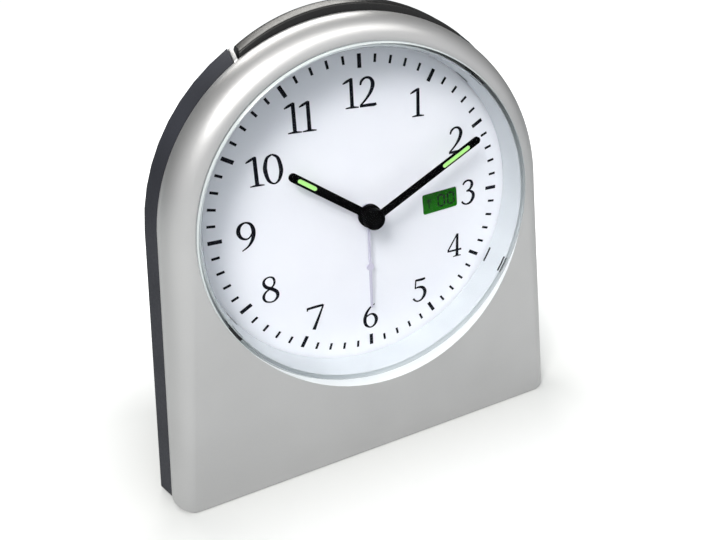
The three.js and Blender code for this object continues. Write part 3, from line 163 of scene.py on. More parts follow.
# White lacquer on the wall of the well: smooth, so that the lens has a pale edge all round.
# The same white on the lip's dished crescent round the lens is a painted highlight on the silver.
well_white_and_lip_highlight = moulded("white_well_lacquer_and_painted_lip_highlight", "#e9ebef", "#eef0f3", (0.5, 0.6), 0.5, 1.0, level=0.2)
# Acrylic left frosted on the skirt: a milky wall that faintly mirrors the dial's ticks and lets lamp light in.
skirt_frosted = moulded("frosted_acrylic_skirt", "#c9cfd1", "#cfd5d7", (0.08, 0.14), 1.5, 0.5, level=1.0)
skirt_tree = skirt_frosted.node_tree
pass_light(skirt_tree, skirt_tree.nodes["Principled BSDF"].outputs["BSDF"], "#f4f6f8")
# Printing ink pressed onto the dial: near black with a blue cast, a little glossier than the card.
dial_ink = moulded("navy_black_screen_ink", "#07070f", "#0c0c16", (0.5, 0.6), 0.25, 0.6, level=0.1)
# Aluminium sheet stoved in black lacquer: dense black that hardly shines.
hand_black = moulded("black_lacquer_on_aluminium", "#020202", "#040405", (0.4, 0.5), 0.5, 1.0, level=0.01)
# Lilac-grey lacquer on a thin steel strip: pale and half dull.
hand_lilac = moulded("lilac_grey_lacquer_on_steel", "#c8c5d4", "#d0cddc", (0.4, 0.5), 0.5, 1.0, level=0.2)
# Glow paint flooded into the slot of a hand: chalky pale green, grainy from its pigment.
glow_paint = moulded("pale_green_glow_paint", "#a9ee7c", "#bff795", (0.6, 0.75), 0.18, 6.0)
# Acetal moulded white: waxy and faintly uneven.
white_acetal = moulded("white_acetal_moulded", "#e4e1d8", "#eeebe2", (0.4, 0.5), 0.6, 3.0)
# Polycarbonate moulded black for the movement: dull, with a light sheen.
movement_black = moulded("black_polycarbonate_moulded", "#17181b", "#202125", (0.4, 0.52), 0.5, 4.0)
# Ferrite sintered and ground: dark grey, slightly speckled.
ferrite = moulded("ferrite_sintered", "#2c2d31", "#3a3b40", (0.55, 0.7), 0.4, 6.0)
# Ground magnet: dark and a little metallic.
magnet = moulded("magnet_ground", "#3a3b40", "#47484e", (0.32, 0.45), 0.3, 2.0, metallic=0.7)
# Silicon steel stamped from sheet: cold grey metal with a dull roll finish.
stator_steel = moulded("silicon_steel_stamped", "#8f9194", "#a1a3a6", (0.32, 0.42), 0.4, 2.0, metallic=1.0)
# Brass turned on a lathe: warm yellow metal.
brass = moulded("brass_turned", "#b08a45", "#c29c54", (0.24, 0.34), 0.3, 2.0, metallic=1.0)
# Copper wire drawn and enamelled: warm red metal under a clear varnish that shines along each turn.
copper_wire = moulded("enamelled_copper_wire", "#8a4420", "#b0622f", (0.22, 0.32), 0.4, 1.0, metallic=0.9)
# Nickel plate on steel spring: bright, slightly warm metal.
nickel = moulded("nickel_plated_steel", "#bab8b0", "#c8c6be", (0.2, 0.3), 0.4, 1.5, metallic=1.0)
# Zinc plate on screws: grey metal with a faint blue cast.
screw_zinc = moulded("zinc_plated_screw_steel", "#83868b", "#95989d", (0.28, 0.4), 0.3, 2.0, metallic=1.0)
# Shrink sleeve on a cell: smooth blue film with a soft gloss.
cell_sleeve = moulded("blue_shrink_sleeve", "#1f3a66", "#27467a", (0.25, 0.35), 1.5, 4.0)
# Solder resist over a printed board: green varnish, glossy over the traces.
solder_resist = moulded("green_solder_resist", "#12492a", "#1b5c36", (0.28, 0.42), 1.2, 10.0)
# Frosted acrylic block that carries the lamp's light to the display: pale green and half dull.
frosted_guide = moulded("frosted_acrylic_guide", "#d3e6da", "#e0f0e6", (0.4, 0.55), 0.4, 3.0)
# Liquid crystal switched on: dark green bars in the display.
display_bars = moulded("dark_liquid_crystal_bars", "#031a04", "#052206", (0.3, 0.35), 0.5, 0.3, level=0.1)

ACRYLIC_IOR = 1.49
RIPPLE_MM = 9.0
FRONT_FACING = (0.5, 0.95)  # how squarely a face looks forward, from bare acrylic to fully coated
COAT_POWER = (1.0, 2.0)  # the power of the mirrored share, bare and coated


def clear_acrylic():
    """Acrylic moulded in a polished tool: it bends what is behind it and shines where light grazes it. Its
    flat front is coated, so that it hardly shines. Lamp light passes straight through to the dial."""
    made, tree, shader, place = start_material("clear_acrylic_polished")
    tree.nodes.remove(shader)
    ripple = add_node(tree, "ShaderNodeTexNoise",
                      {"Vector": place, "Scale": per_mm(RIPPLE_MM), "Detail": 0.0}).outputs["Fac"]
    waves = add_node(tree, "ShaderNodeBump",
                     {"Height": ripple, "Strength": 0.3, "Distance": 2e-6}).outputs["Normal"]
    clear = add_node(tree, "ShaderNodeBsdfRefraction",
                     {"Color": hex_colour("#fdfdff"), "IOR": ACRYLIC_IOR, "Normal": waves, "Roughness": 0.0})
    shine = add_node(tree, "ShaderNodeBsdfAnisotropic",
                     {"Color": hex_colour("#ffffff"), "Roughness": 0.03, "Normal": waves})
    facing = add_node(tree, "ShaderNodeTexCoord").outputs["Normal"]
    forward = add_node(tree, "ShaderNodeSeparateXYZ", {"Vector": facing}).outputs["Y"]
    square = add_node(tree, "ShaderNodeMath", {0: forward}, operation="ABSOLUTE").outputs[0]
    coat = add_node(tree, "ShaderNodeMapRange",
                    {"Value": square, "From Min": FRONT_FACING[0], "From Max": FRONT_FACING[1],
                     "To Min": COAT_POWER[0], "To Max": COAT_POWER[1]}).outputs["Result"]
    bare = add_node(tree, "ShaderNodeFresnel", {"IOR": ACRYLIC_IOR, "Normal": waves}).outputs["Fac"]
    mirrored = add_node(tree, "ShaderNodeMath", {0: bare, 1: coat}, operation="POWER").outputs[0]
    seen = add_node(tree, "ShaderNodeMixShader",
                    {0: mirrored, 1: clear.outputs["BSDF"], 2: shine.outputs["BSDF"]})
    pass_light(tree, seen.outputs["Shader"], "#fafafc")
    return made


def display_glass():
    """Green-tinted display glass: deep green, its backlight painted in as a tone that darkens towards the
    upper edge.
    """
    made, tree, shader, place = start_material("green_display_glass", Roughness=0.2, Specular_IOR_Level=0.1)
    low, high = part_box("display_panel")
    upright = add_node(tree, "ShaderNodeMapping",
                       {"Vector": place, "Rotation": (0, math.radians(DISPLAY_LEAN), 0)}).outputs["Vector"]
    height = add_node(tree, "ShaderNodeSeparateXYZ", {"Vector": upright}).outputs["Z"]
    rise = add_node(tree, "ShaderNodeMapRange", {"Value": height, "From Min": low.z, "From Max": high.z})
    tones = add_node(tree, "ShaderNodeValToRGB", {"Fac": rise.outputs["Result"]})
    # painted backlight: lighter green low on the display, darker at its top
    tree.links.new(two_tone(tones, (0.2, 0.8), "#166a08", "#084404"), shader.inputs["Base Color"])
    return made


lens_acrylic = clear_acrylic()
display_green = display_glass()


# Meshes

def finish_piece(name, bm, material, body, replaces=(), sharp=SHARP):
    """Merges a millimetre mesh's doubles, turns its faces outwards and hangs it on its body."""
    bmesh.ops.remove_doubles(bm, verts=bm.verts, dist=MERGE)
    bmesh.ops.recalc_face_normals(bm, faces=bm.faces)
    return hang(name, bm, material, body, replaces, sharp)


def hang(name, bm, material, body, replaces=(), sharp=SHARP):
    """Makes a millimetre mesh an object in metres, smooth except at sharp edges, and hangs it on its body."""
    bmesh.ops.scale(bm, vec=(MM, MM, MM), verts=bm.verts)
    mesh = bpy.data.meshes.new(name)
    bm.to_mesh(mesh)
    bm.free()
    mesh.shade_smooth()
    mesh.set_sharp_from_angle(angle=math.radians(sharp))
    mesh.materials.append(material)
    made = bpy.data.objects.new(name, mesh)
    bpy.context.scene.collection.objects.link(made)
    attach(made, body)
    if replaces:
        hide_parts(*replaces)
    return made


def new_verts(made):
    """The vertices among what an operator made."""
    return [g for g in made["geom"] if isinstance(g, bmesh.types.BMVert)]


def loop_verts(loop):
    """The vertices of a loop of edges."""
    return {v for e in loop for v in e.verts}


def add_chain(bm, points, closed=False):
    """Vertices joined one after the other by edges."""
    made = [bm.verts.new(p) for p in points]
    pairs = list(zip(made, made[1:]))
    if closed:
        pairs.append((made[-1], made[0]))
    return made, [bm.edges.new(pair) for pair in pairs]


def full_turn(bm, chain, centre, axis, steps):
    """Spins a chain of vertices and edges once round an axis."""
    made, edges = chain
    bmesh.ops.spin(bm, geom=made + edges, cent=centre, axis=axis, dvec=(0, 0, 0), angle=2 * math.pi,
                   steps=steps, use_merge=True)


def turn_profile(bm, profile, steps):
    """A chain of radius and depth, spun a full turn about the dial's axis."""
    points = [DIAL_AXIS + Vector((radius, y, 0)) for radius, y in profile]
    full_turn(bm, add_chain(bm, points), DIAL_AXIS, DEPTH, steps)
    bmesh.ops.remove_doubles(bm, verts=bm.verts, dist=MERGE)


def round_corner(start, corner, end, steps):
    """Points of a rounded corner of a profile, between the points where it starts and ends."""
    start, corner, end = (Vector((*p, 0)) for p in (start, corner, end))
    found = []
    for i in range(steps + 1):
        t = math.pi / 2 * i / steps
        point = corner + (start - corner) * (1 - math.sin(t)) + (end - corner) * (1 - math.cos(t))
        found.append((point.x, point.y))
    return found


def round_edges(bm, edges, by, segments=3):
    """Rounds edges of a mesh."""
    bmesh.ops.bevel(bm, geom=edges, offset=by, offset_type="OFFSET", affect="EDGES", segments=segments,
                    profile=0.5, material=-1, clamp_overlap=True)


def cut_by_plane(bm, point, normal, clear_outer=False):
    """Cuts a mesh along a plane, and can clear what lies in front of it."""
    bmesh.ops.bisect_plane(bm, geom=bm.verts[:] + bm.edges[:] + bm.faces[:], plane_co=point, plane_no=normal,
                           clear_outer=clear_outer)


def sweep_vertex(bm, vert, centre, degrees, steps):
    """Spins a vertex about a Y axis, anticlockwise seen from the front, and returns the last one."""
    made = bmesh.ops.spin(bm, geom=[vert], cent=centre, axis=-DEPTH, dvec=(0, 0, 0),
                          angle=math.radians(degrees), steps=steps)
    return next(g for g in made["geom_last"] if isinstance(g, bmesh.types.BMVert))


def circle_loop(bm, y, radius, steps=240):
    """A closed loop of edges round the dial's axis."""
    place = Matrix.Translation((0, y, DIAL_Z)) @ Matrix.Rotation(math.pi / 2, 4, "X")
    made = bmesh.ops.create_circle(bm, segments=steps, radius=radius, matrix=place)
    return list({e for v in made["verts"] for e in v.link_edges})


def bridge(bm, loops):
    """Faces between each loop and the next."""
    for one, two in zip(loops, loops[1:]):
        bmesh.ops.bridge_loops(bm, edges=one + two)


def turn_clockwise(bm, verts, degrees):
    """Turns vertices about the dial's axis, clockwise seen from the front."""
    bmesh.ops.rotate(bm, verts=verts, cent=DIAL_AXIS, matrix=Matrix.Rotation(math.radians(degrees), 3, "Y"))


def add_box(bm, low, high):
    """A box between two corners; returns its vertices."""
    size = [b - a for a, b in zip(low, high)]
    middle = Vector([(a + b) / 2 for a, b in zip(low, high)])
    place = Matrix.Translation(middle) @ Matrix.Diagonal((*size, 1))
    return bmesh.ops.create_cube(bm, size=1.0, matrix=place)["verts"]


def rounded_box(bm, low, high, round_by):
    """A box between two corners with all its edges rounded."""
    verts = add_box(bm, low, high)
    round_edges(bm, list({e for v in verts for e in v.link_edges}), round_by)


def off_axis(point):
    """The way from the dial's axis straight out to a point."""
    return Vector((point.x, 0, point.z - DIAL_Z))


def degrees_from(point, angle):
    """How many degrees a point lies from a clock angle."""
    found = math.degrees(math.atan2(point.x, point.z - DIAL_Z))
    return abs((found - angle + 180) % 360 - 180)


def push_out(bm, angle, half, span, radius, reach):
    """Draws the faces round a clock angle, on a wall of one radius between two depths, to another radius."""
    depth = sum(span) / 2
    faces = [f for f in bm.faces if degrees_from(f.calc_center_median(), angle) < half
             and abs(f.calc_center_median().y - depth) < NEAR
             and abs(off_axis(f.verts[0].co).length - radius) < ON_WALL]
    pushed = bmesh.ops.extrude_face_region(bm, geom=faces)
    bmesh.ops.delete(bm, geom=[f for f in faces if f.is_valid], context="FACES_ONLY")
    out = reach / radius
    bmesh.ops.scale(bm, vec=(out, 1, out), verts=new_verts(pushed), space=Matrix.Translation(-DIAL_AXIS))


# Front shell

BASE_GAP = 0.3  # the silver ends this far above the table
FRONT_CORNER = 0.9
FACE_RISE = DIAL_Z - ARCH_Z  # the face's arch is centred on the dial
PARTING_CHAMFER = 0.25
EDGE_WIDTH = 6.15
EDGE_DEPTH = 6.4
EDGE_FLATNESS = 1.12  # 1 is a plain ellipse; more leans to a bevel
EDGE_AT_BASE = 0.72  # the share of the edge's width that is left at the base
EDGE_STEPS = 18
FACE_HOLD = 0.08  # a narrow flat band that keeps the edge's shading off the face
LIP_CHAMFER = 0.1
LIP_DROP = 0.2
DISH_WIDTH = 3.4  # the lip's dished crescent at its widest
DISH_SLOPE = 0.85
DISH_ANGLE = 163
DISH_REACH = 78  # degrees to either side
WELL_OUTER = 40.4
SLOT_PLAY = 0.3  # before and behind a lug in its slot
SLOT_HALF = 4.5  # degrees
SLOT_FLOOR = 0.2  # the wall left behind a slot
SHELL_WALL = 2.0
HOLLOW_Y = PARTING_Y - 4.2
HOLLOW_SEAM = 0.05  # between the hollow's floor and the outside of the well
ARCH_STEPS = 96
CORNER_STEPS = 8
STRAIGHT_CUTS = 22


def arch_loop(bm, y, inset, base, rise=0.0):
    """The arched outline drawn in by an inset, as a closed loop of edges at depth y, its straight runs cut up.
    The arch's centre can be raised."""
    before = set(bm.edges)
    arch_z = ARCH_Z + rise
    radius = ARCH_RADIUS - inset
    turn = math.degrees(FLARE)
    corner_z = base + FRONT_CORNER
    side_x = radius / math.cos(FLARE) + (arch_z - corner_z) * math.tan(FLARE)
    corner_x = side_x - FRONT_CORNER / math.cos(FLARE)
    start = bm.verts.new((corner_x, y, base))
    side_low = sweep_vertex(bm, start, Vector((corner_x, y, corner_z)), 90 + turn, CORNER_STEPS)
    side_high = bm.verts.new((radius * math.cos(FLARE), y, arch_z + radius * math.sin(FLARE)))
    straight = [bm.edges.new((side_low, side_high))]
    far_high = sweep_vertex(bm, side_high, Vector((0, y, arch_z)), 180 - 2 * turn, ARCH_STEPS)
    far_low = bm.verts.new((-side_low.co.x, y, side_low.co.z))
    straight.append(bm.edges.new((far_high, far_low)))
    end = sweep_vertex(bm, far_low, Vector((-corner_x, y, corner_z)), 90 + turn, CORNER_STEPS)
    straight.append(bm.edges.new((end, start)))
    bmesh.ops.subdivide_edges(bm, edges=straight, cuts=STRAIGHT_CUTS)
    return [e for e in bm.edges if e not in before]


def narrow_edge(loop, inset):
    """Moves a loop of the rounded edge out again towards the base, where the edge is tighter."""
    for v in loop_verts(loop):
        if v.co.z < ARCH_Z:
            half = ARCH_RADIUS / math.cos(FLARE) + (ARCH_Z - v.co.z) * math.tan(FLARE)
            share = EDGE_AT_BASE + (1 - EDGE_AT_BASE) * max(0.0, v.co.z / ARCH_Z)
            v.co.x *= (half - inset * share) / (half - inset)
    return loop


def edge_loops(bm):
    """Outline loops from the parting edge over the rounded edge to the face."""
    loops = [arch_loop(bm, PARTING_Y, PARTING_CHAMFER, BASE_GAP + PARTING_CHAMFER),
             arch_loop(bm, PARTING_Y - PARTING_CHAMFER, 0, BASE_GAP)]
    for i in range(EDGE_STEPS + 1):
        t = math.pi / 2 * i / EDGE_STEPS
        inward = 1 - math.cos(t) ** EDGE_FLATNESS
        y = FACE_Y + EDGE_DEPTH * (1 - math.sin(t) ** EDGE_FLATNESS)
        inset = EDGE_WIDTH * inward
        loops.append(narrow_edge(arch_loop(bm, y, inset, BASE_GAP, FACE_RISE * inward), inset))
    hold = EDGE_WIDTH + FACE_HOLD
    loops.append(narrow_edge(arch_loop(bm, FACE_Y, hold, BASE_GAP + FACE_HOLD, FACE_RISE), hold))
    return loops


def draw_to_circle(bm, loop, radius):
    """Extrudes a loop in its plane until it lies on a circle round the dial's axis; returns the new loop."""
    fresh = set(new_verts(bmesh.ops.extrude_edge_only(bm, edges=loop)))
    for v in fresh:
        out = off_axis(v.co)
        v.co += out.normalized() * (radius - out.length)
    return list({e for v in fresh for e in v.link_edges if e.other_vert(v) in fresh})


def dish(point):
    """How far the lip is dished at a point: a crescent below the lens that catches the light, and is painted
    white as a highlight.
    """
    away = min(1.0, degrees_from(point, DISH_ANGLE) / DISH_REACH)
    return DISH_WIDTH * math.cos(math.radians(90 * away)) ** 2


def front_shell():
    """The silver shell: a rounded edge, a flat face, a dished lip painted white as a highlight, a white well
    slotted for the lens and a hollow back.
    """
    bm = bmesh.new()
    outer = edge_loops(bm)
    bridge(bm, outer)
    lip = draw_to_circle(bm, outer[-1], WELL_RADIUS + LIP_CHAMFER)
    inner = circle_loop(bm, FACE_Y + LIP_DROP, WELL_RADIUS)
    for v in loop_verts(lip):
        v.co += off_axis(v.co).normalized() * dish(v.co)
    for v in loop_verts(inner):
        v.co.y += dish(v.co) * DISH_SLOPE
    silver = set(bm.faces)
    bridge(bm, [lip, inner])
    slot_y = (LUG_Y[0] - SLOT_PLAY, LUG_Y[1] + SLOT_PLAY)
    well = [inner] + [circle_loop(bm, y, WELL_RADIUS) for y in (*slot_y, WELL_BACK_Y)]
    bridge(bm, well)
    for angle in LUG_ANGLES:
        push_out(bm, angle, SLOT_HALF, slot_y, WELL_RADIUS, WELL_OUTER - SLOT_FLOOR)
    # the lip's dished faces take the white: a painted highlight on the silver; the well's wall and slots are
    # white lacquer
    for f in set(bm.faces) - silver:
        f.material_index = 1
    outside = [well[-1], circle_loop(bm, WELL_BACK_Y, WELL_OUTER), circle_loop(bm, HOLLOW_Y, WELL_OUTER)]
    bridge(bm, outside)
    hollow = arch_loop(bm, HOLLOW_Y, SHELL_WALL, BASE_GAP + SHELL_WALL)
    bridge(bm, [outside[-1], draw_to_circle(bm, hollow, WELL_OUTER + HOLLOW_SEAM)])
    bridge(bm, [hollow, arch_loop(bm, PARTING_Y, SHELL_WALL, BASE_GAP + SHELL_WALL), outer[0]])
    return bm


shell = finish_piece("front_shell", front_shell(), silver_lacquer, "case", ["front_housing"],
                     sharp=28.0)
# second slot: white of the well, and painted highlight on the lip's crescent
shell.data.materials.append(well_white_and_lip_highlight)


# Lens

LENS_FRONT_Y = -22.05
LENS_BACK_Y = -20.55  # the back of the pane
LENS_RIM = 38.95
LENS_RADIUS = 38.7
LENS_INNER = 38.05
LENS_CHAMFER = 0.1
RIM_ROUND = (1.1, 0.8)  # across and deep
RIM_BACK_Y = FACE_Y - 0.3
RIM_MILKY_HIGHLIGHT = 0.3  # the rim's outer line, frosted with the skirt as a painted highlight: a pale line round the lens
PANE_ROUND = 0.5
LUG_REACH = 40.0
LUG_HALF = 3.0  # degrees
SLITS = ((-20.0, -19.5), (-14.3, -13.7))  # depths of the slits that let each lug spring
SLIT_DEPTH = 0.25
LENS_STEPS = 240


def lens_profile():
    """Half of the cup's section, from the middle of its front to the middle of the pane's back."""
    profile = [(0.0, LENS_FRONT_Y)]
    profile += round_corner((LENS_RIM - RIM_ROUND[0], LENS_FRONT_Y), (LENS_RIM, LENS_FRONT_Y),
                            (LENS_RIM, LENS_FRONT_Y + RIM_ROUND[1]), 8)
    profile += [(LENS_RIM, RIM_BACK_Y - LENS_CHAMFER), (LENS_RIM - LENS_CHAMFER, RIM_BACK_Y)]
    profile += [(LENS_RADIUS, y) for y in (RIM_BACK_Y, *LUG_Y, WELL_BACK_Y - LENS_CHAMFER)]
    profile += [(LENS_RADIUS - LENS_CHAMFER, WELL_BACK_Y), (LENS_INNER + LENS_CHAMFER, WELL_BACK_Y)]
    profile += [(LENS_INNER, WELL_BACK_Y - LENS_CHAMFER)]
    profile += [(LENS_INNER, y) for slit in reversed(SLITS) for y in reversed(slit)]
    profile += round_corner((LENS_INNER, LENS_BACK_Y + PANE_ROUND), (LENS_INNER, LENS_BACK_Y),
                            (LENS_INNER - PANE_ROUND, LENS_BACK_Y), 4)
    return profile + [(0.0, LENS_BACK_Y)]


def lens_cup():
    """A clear cup: a flat pane, a proud rounded rim whose frosted outer line is a painted highlight, and a
    frosted skirt with lugs and their slits, painted black as painted shade.
    """
    bm = bmesh.new()
    turn_profile(bm, lens_profile(), LENS_STEPS)
    bmesh.ops.recalc_face_normals(bm, faces=bm.faces)
    for angle in LUG_ANGLES:
        push_out(bm, angle, LUG_HALF, LUG_Y, LENS_RADIUS, LUG_REACH)
    for f in bm.faces:
        middle = f.calc_center_median()
        reach = off_axis(middle).length
        on_skirt = reach > LENS_INNER - NEAR and middle.y > LENS_BACK_Y + NEAR
        # the rim's outer line takes the frosted finish as a painted highlight
        if on_skirt or reach > LENS_RIM - RIM_MILKY_HIGHLIGHT:
            f.material_index = 1
    before = set(bm.faces)
    for angle in LUG_ANGLES:
        for slit in SLITS:
            push_out(bm, angle, LUG_HALF, slit, LENS_INNER, LENS_INNER + SLIT_DEPTH)
    # the slits' faces are painted black: painted shade in the clear acrylic
    for f in set(bm.faces) - before:
        f.material_index = 2
    return bm


lens = finish_piece("lens_cup", lens_cup(), lens_acrylic, "case", ["lens"], sharp=30.0)
lens.data.materials.append(skirt_frosted)
# matt black on the lens's slits is painted shade
lens.data.materials.append(control_black)


# Snooze bar

BAR_HALF = 25.0
BAR_INNER = 44.7
BAR_OUTER = 47.8
BAR_BACK_Y = -8.15
BAR_CHAMFER = 0.3
BAR_TAPER = 1.0  # how much lower the crown is at its ends
# Drops below the crown's top, and depths behind the bar's front.
BAR_BROW = ((1.2, 0.0), (0.85, 0.0), (0.7, 0.5))
BAR_RISE = ((0.45, 1.7), (0.2, 2.8))
BAR_CREST = 0.05
BAR_HEEL = 1.5
STEM_HALF = 4.0
STEM_Y = (-10.05, -8.45)
STEM_TOP = ARCH_Z + BAR_INNER + 1.0
STEM_ROUND = 0.15
FOOT_HALF = 5.5
FOOT_Y = (-9.55, -4.95)
FOOT_Z = (99.1, 100.4)
FOOT_ROUND = 0.2
TAB_WIDTH = 0.7
TAB_DEPTH = 4.6
TAB_HEIGHT = 1.85
TAB_ROOT = 1.6  # how far a fin reaches into the arch
TAB_SET_BACK = 0.1
TAB_PLAY = 0.15
TAB_ROUND = 0.25
# Heights and depths from the arch at a fin's front, and from its top at the back.
TAB_BROW = ((-0.3, 0.0), (0.1, 0.0), (0.3, 0.6))
TAB_HEEL = ((-0.25, -0.6), (0.0, 0.0), (-0.5, 0.0))
BAND_OVERRUN = 0.05  # radians spun past each cut
BAND_STEPS = 64  # to a radian


def arch_band(section, left, right, round_by):
    """A closed section of radius and depth spun along the arch, cut square at two places, its ends rounded."""
    bm = bmesh.new()
    inner = min(radius for radius, y in section)
    first, last = math.asin(left / inner) - BAND_OVERRUN, math.asin(right / inner) + BAND_OVERRUN
    points = [ARCH_AXIS + Vector((0, y, radius)) for radius, y in section]
    made, edges = add_chain(bm, points, closed=True)
    bmesh.ops.rotate(bm, verts=made, cent=ARCH_AXIS, matrix=Matrix.Rotation(first, 3, "Y"))
    start = bmesh.ops.contextual_create(bm, geom=edges)["faces"]
    bmesh.ops.spin(bm, geom=start, cent=ARCH_AXIS, axis=DEPTH, dvec=(0, 0, 0), angle=last - first,
                   steps=max(6, int((last - first) * BAND_STEPS)))
    for x, way in ((left, -1), (right, 1)):
        cut_by_plane(bm, (x, 0, 0), (way, 0, 0), clear_outer=True)
        bmesh.ops.holes_fill(bm, edges=[e for e in bm.edges if e.is_boundary], sides=0)
    bmesh.ops.recalc_face_normals(bm, faces=bm.faces)
    rims = [e for e in bm.edges
            if any(all(abs(v.co.x - x) < MERGE for v in e.verts) for x in (left, right))]
    round_edges(bm, rims, round_by)
    return bm


def snooze_crown():
    """A low wall in front, then a crown that rises to the back and swells towards the middle."""
    section = [(BAR_INNER, FLANGE_Y + BAR_CHAMFER), (BAR_INNER + BAR_CHAMFER, FLANGE_Y)]
    section += round_corner(*((BAR_OUTER - drop, FLANGE_Y + back) for drop, back in BAR_BROW), 4)
    section += [(BAR_OUTER - drop, FLANGE_Y + back) for drop, back in BAR_RISE]
    section += round_corner((BAR_OUTER - BAR_CREST, BAR_BACK_Y - BAR_HEEL), (BAR_OUTER, BAR_BACK_Y),
                            (BAR_OUTER - BAR_HEEL, BAR_BACK_Y), 6)
    section += [(BAR_INNER + BAR_CHAMFER, BAR_BACK_Y), (BAR_INNER, BAR_BACK_Y - BAR_CHAMFER)]
    bm = arch_band(section, -BAR_HALF, BAR_HALF, BAR_CHAMFER)
    for v in bm.verts:
        out = Vector((v.co.x, 0, v.co.z - ARCH_Z))
        share = max(0.0, (out.length - BAR_INNER) / (BAR_OUTER - BAR_INNER))
        v.co -= out.normalized() * BAR_TAPER * share * (v.co.x / BAR_HALF) ** 2
    return bm


def snooze_bar():
    """The pressed bar: the crown, a stem below it and a foot over the switch."""
    bm = snooze_crown()
    rounded_box(bm, (-STEM_HALF, STEM_Y[0], FOOT_Z[0]), (STEM_HALF, STEM_Y[1], STEM_TOP), STEM_ROUND)
    rounded_box(bm, (-FOOT_HALF, FOOT_Y[0], FOOT_Z[0]), (FOOT_HALF, FOOT_Y[1], FOOT_Z[1]), FOOT_ROUND)
    return bm


def bar_tab(side):
    """A silver fin that closes one end of the bar's notch and rises with the flange beside it."""
    front, back = PARTING_Y + TAB_SET_BACK, PARTING_Y + TAB_DEPTH
    top = ARCH_RADIUS + TAB_HEIGHT
    section = [(ARCH_RADIUS - TAB_ROOT, front)]
    section += round_corner(*((ARCH_RADIUS + rise, front + depth) for rise, depth in TAB_BROW), 4)
    section += round_corner(*((top + rise, back + depth) for rise, depth in TAB_HEEL), 4)
    section += [(ARCH_RADIUS - TAB_ROOT, back)]
    near = BAR_HALF + TAB_PLAY
    ends = sorted((side * near, side * (near + TAB_WIDTH)))
    return arch_band(section, *ends, TAB_ROUND)


finish_piece("snooze_bar_crown", snooze_bar(), bar_black, "snooze", ["snooze_bar"])
finish_piece("bar_tab_left", bar_tab(-1), silver_lacquer, "case")
finish_piece("bar_tab_right", bar_tab(1), silver_lacquer, "case")


# Hands

MINUTE_ANGLE = 61.5
HAND_ANGLES = {"minute": MINUTE_ANGLE, "hour": 300 + MINUTE_ANGLE / 12}
LUMES = {"minute": (20.0, 28.0), "hour": (15.0, 19.8)}  # radii between which a hand holds glow paint
BLADES = {"minute": {"y": -17.9, "width": 1.7, "reach": 31.2},
          "hour": {"y": -15.6, "width": 1.95, "reach": 21.9}}
HUBS = {"minute": {"radius": 2.4, "front": -18.85, "back": -16.35, "dome": 0.75},
        "hour": {"radius": 2.75, "front": -16.05, "back": -14.55, "dome": 0.4}}
BLADE_THICKNESS = 0.6
BLADE_ROUND = 0.12
HUB_CHAMFER = 0.1
HUB_SWELL = 0.02  # how far a hub's front rises to its middle
SLOT_WIDTH = 1.0
PAINT_WIDTH = 0.9
PAINT_SUNK = 0.06
PAINT_SKIN = (0.16, 0.1)  # across and up, where the paint's skin is domed
PAINT_DEPTH = 0.5


def slot_loop(bm, lume, half, y):
    """The round-ended outline of a glow-paint slot, from one radius to another."""
    before = set(bm.edges)
    start, stop = DIAL_Z + lume[0] + half, DIAL_Z + lume[1] - half
    first = bm.verts.new((half, y, start))
    right = bm.verts.new((half, y, stop))
    bm.edges.new((first, right))
    left = sweep_vertex(bm, right, Vector((0, y, stop)), 180, 10)
    low_left = bm.verts.new((-half, y, start))
    bm.edges.new((left, low_left))
    last = sweep_vertex(bm, low_left, Vector((0, y, start)), 180, 10)
    bmesh.ops.pointmerge(bm, verts=[last, first], merge_co=first.co)
    return [e for e in bm.edges if e not in before]


def add_blade(bm, hand):
    """A flat baton pointing to 12, with a round tip and a slot for glow paint."""
    y, half, reach = BLADES[hand]["y"], BLADES[hand]["width"] / 2, BLADES[hand]["reach"]
    start = bm.verts.new((half, y, DIAL_Z))
    shoulder = bm.verts.new((half, y, DIAL_Z + reach - half))
    bm.edges.new((start, shoulder))
    tip = sweep_vertex(bm, shoulder, Vector((0, y, DIAL_Z + reach - half)), 180, 16)
    foot = bm.verts.new((-half, y, DIAL_Z))
    bm.edges.new((tip, foot))
    bm.edges.new((foot, start))
    outside = list(bm.edges)
    slot = slot_loop(bm, LUMES[hand], SLOT_WIDTH / 2, y)
    bmesh.ops.triangle_fill(bm, use_beauty=True, use_dissolve=False, edges=outside + slot, normal=-DEPTH)
    pushed = bmesh.ops.extrude_face_region(bm, geom=list(bm.faces))
    bmesh.ops.translate(bm, verts=new_verts(pushed), vec=(0, BLADE_THICKNESS, 0))
    bmesh.ops.recalc_face_normals(bm, faces=bm.faces)
    front = [e for e in bm.edges if all(abs(v.co.y - y) < MERGE for v in e.verts)
             and len({round(abs(f.normal.y), 2) for f in e.link_faces}) > 1]
    round_edges(bm, front, BLADE_ROUND, 2)


def baton_hand(hand):
    """A baton with a domed hub, turned to the time."""
    bm = bmesh.new()
    add_blade(bm, hand)
    radius, front, back, dome = (HUBS[hand][key] for key in ("radius", "front", "back", "dome"))
    swell = front + HUB_SWELL
    profile = [(0.0, front)]
    profile += round_corner((radius - dome, swell), (radius, swell), (radius, front + dome), 6)
    profile += [(radius, back - HUB_CHAMFER), (radius - HUB_CHAMFER, back), (0.0, back)]
    turn_profile(bm, profile, 48)
    turn_clockwise(bm, bm.verts, HAND_ANGLES[hand])
    return bm


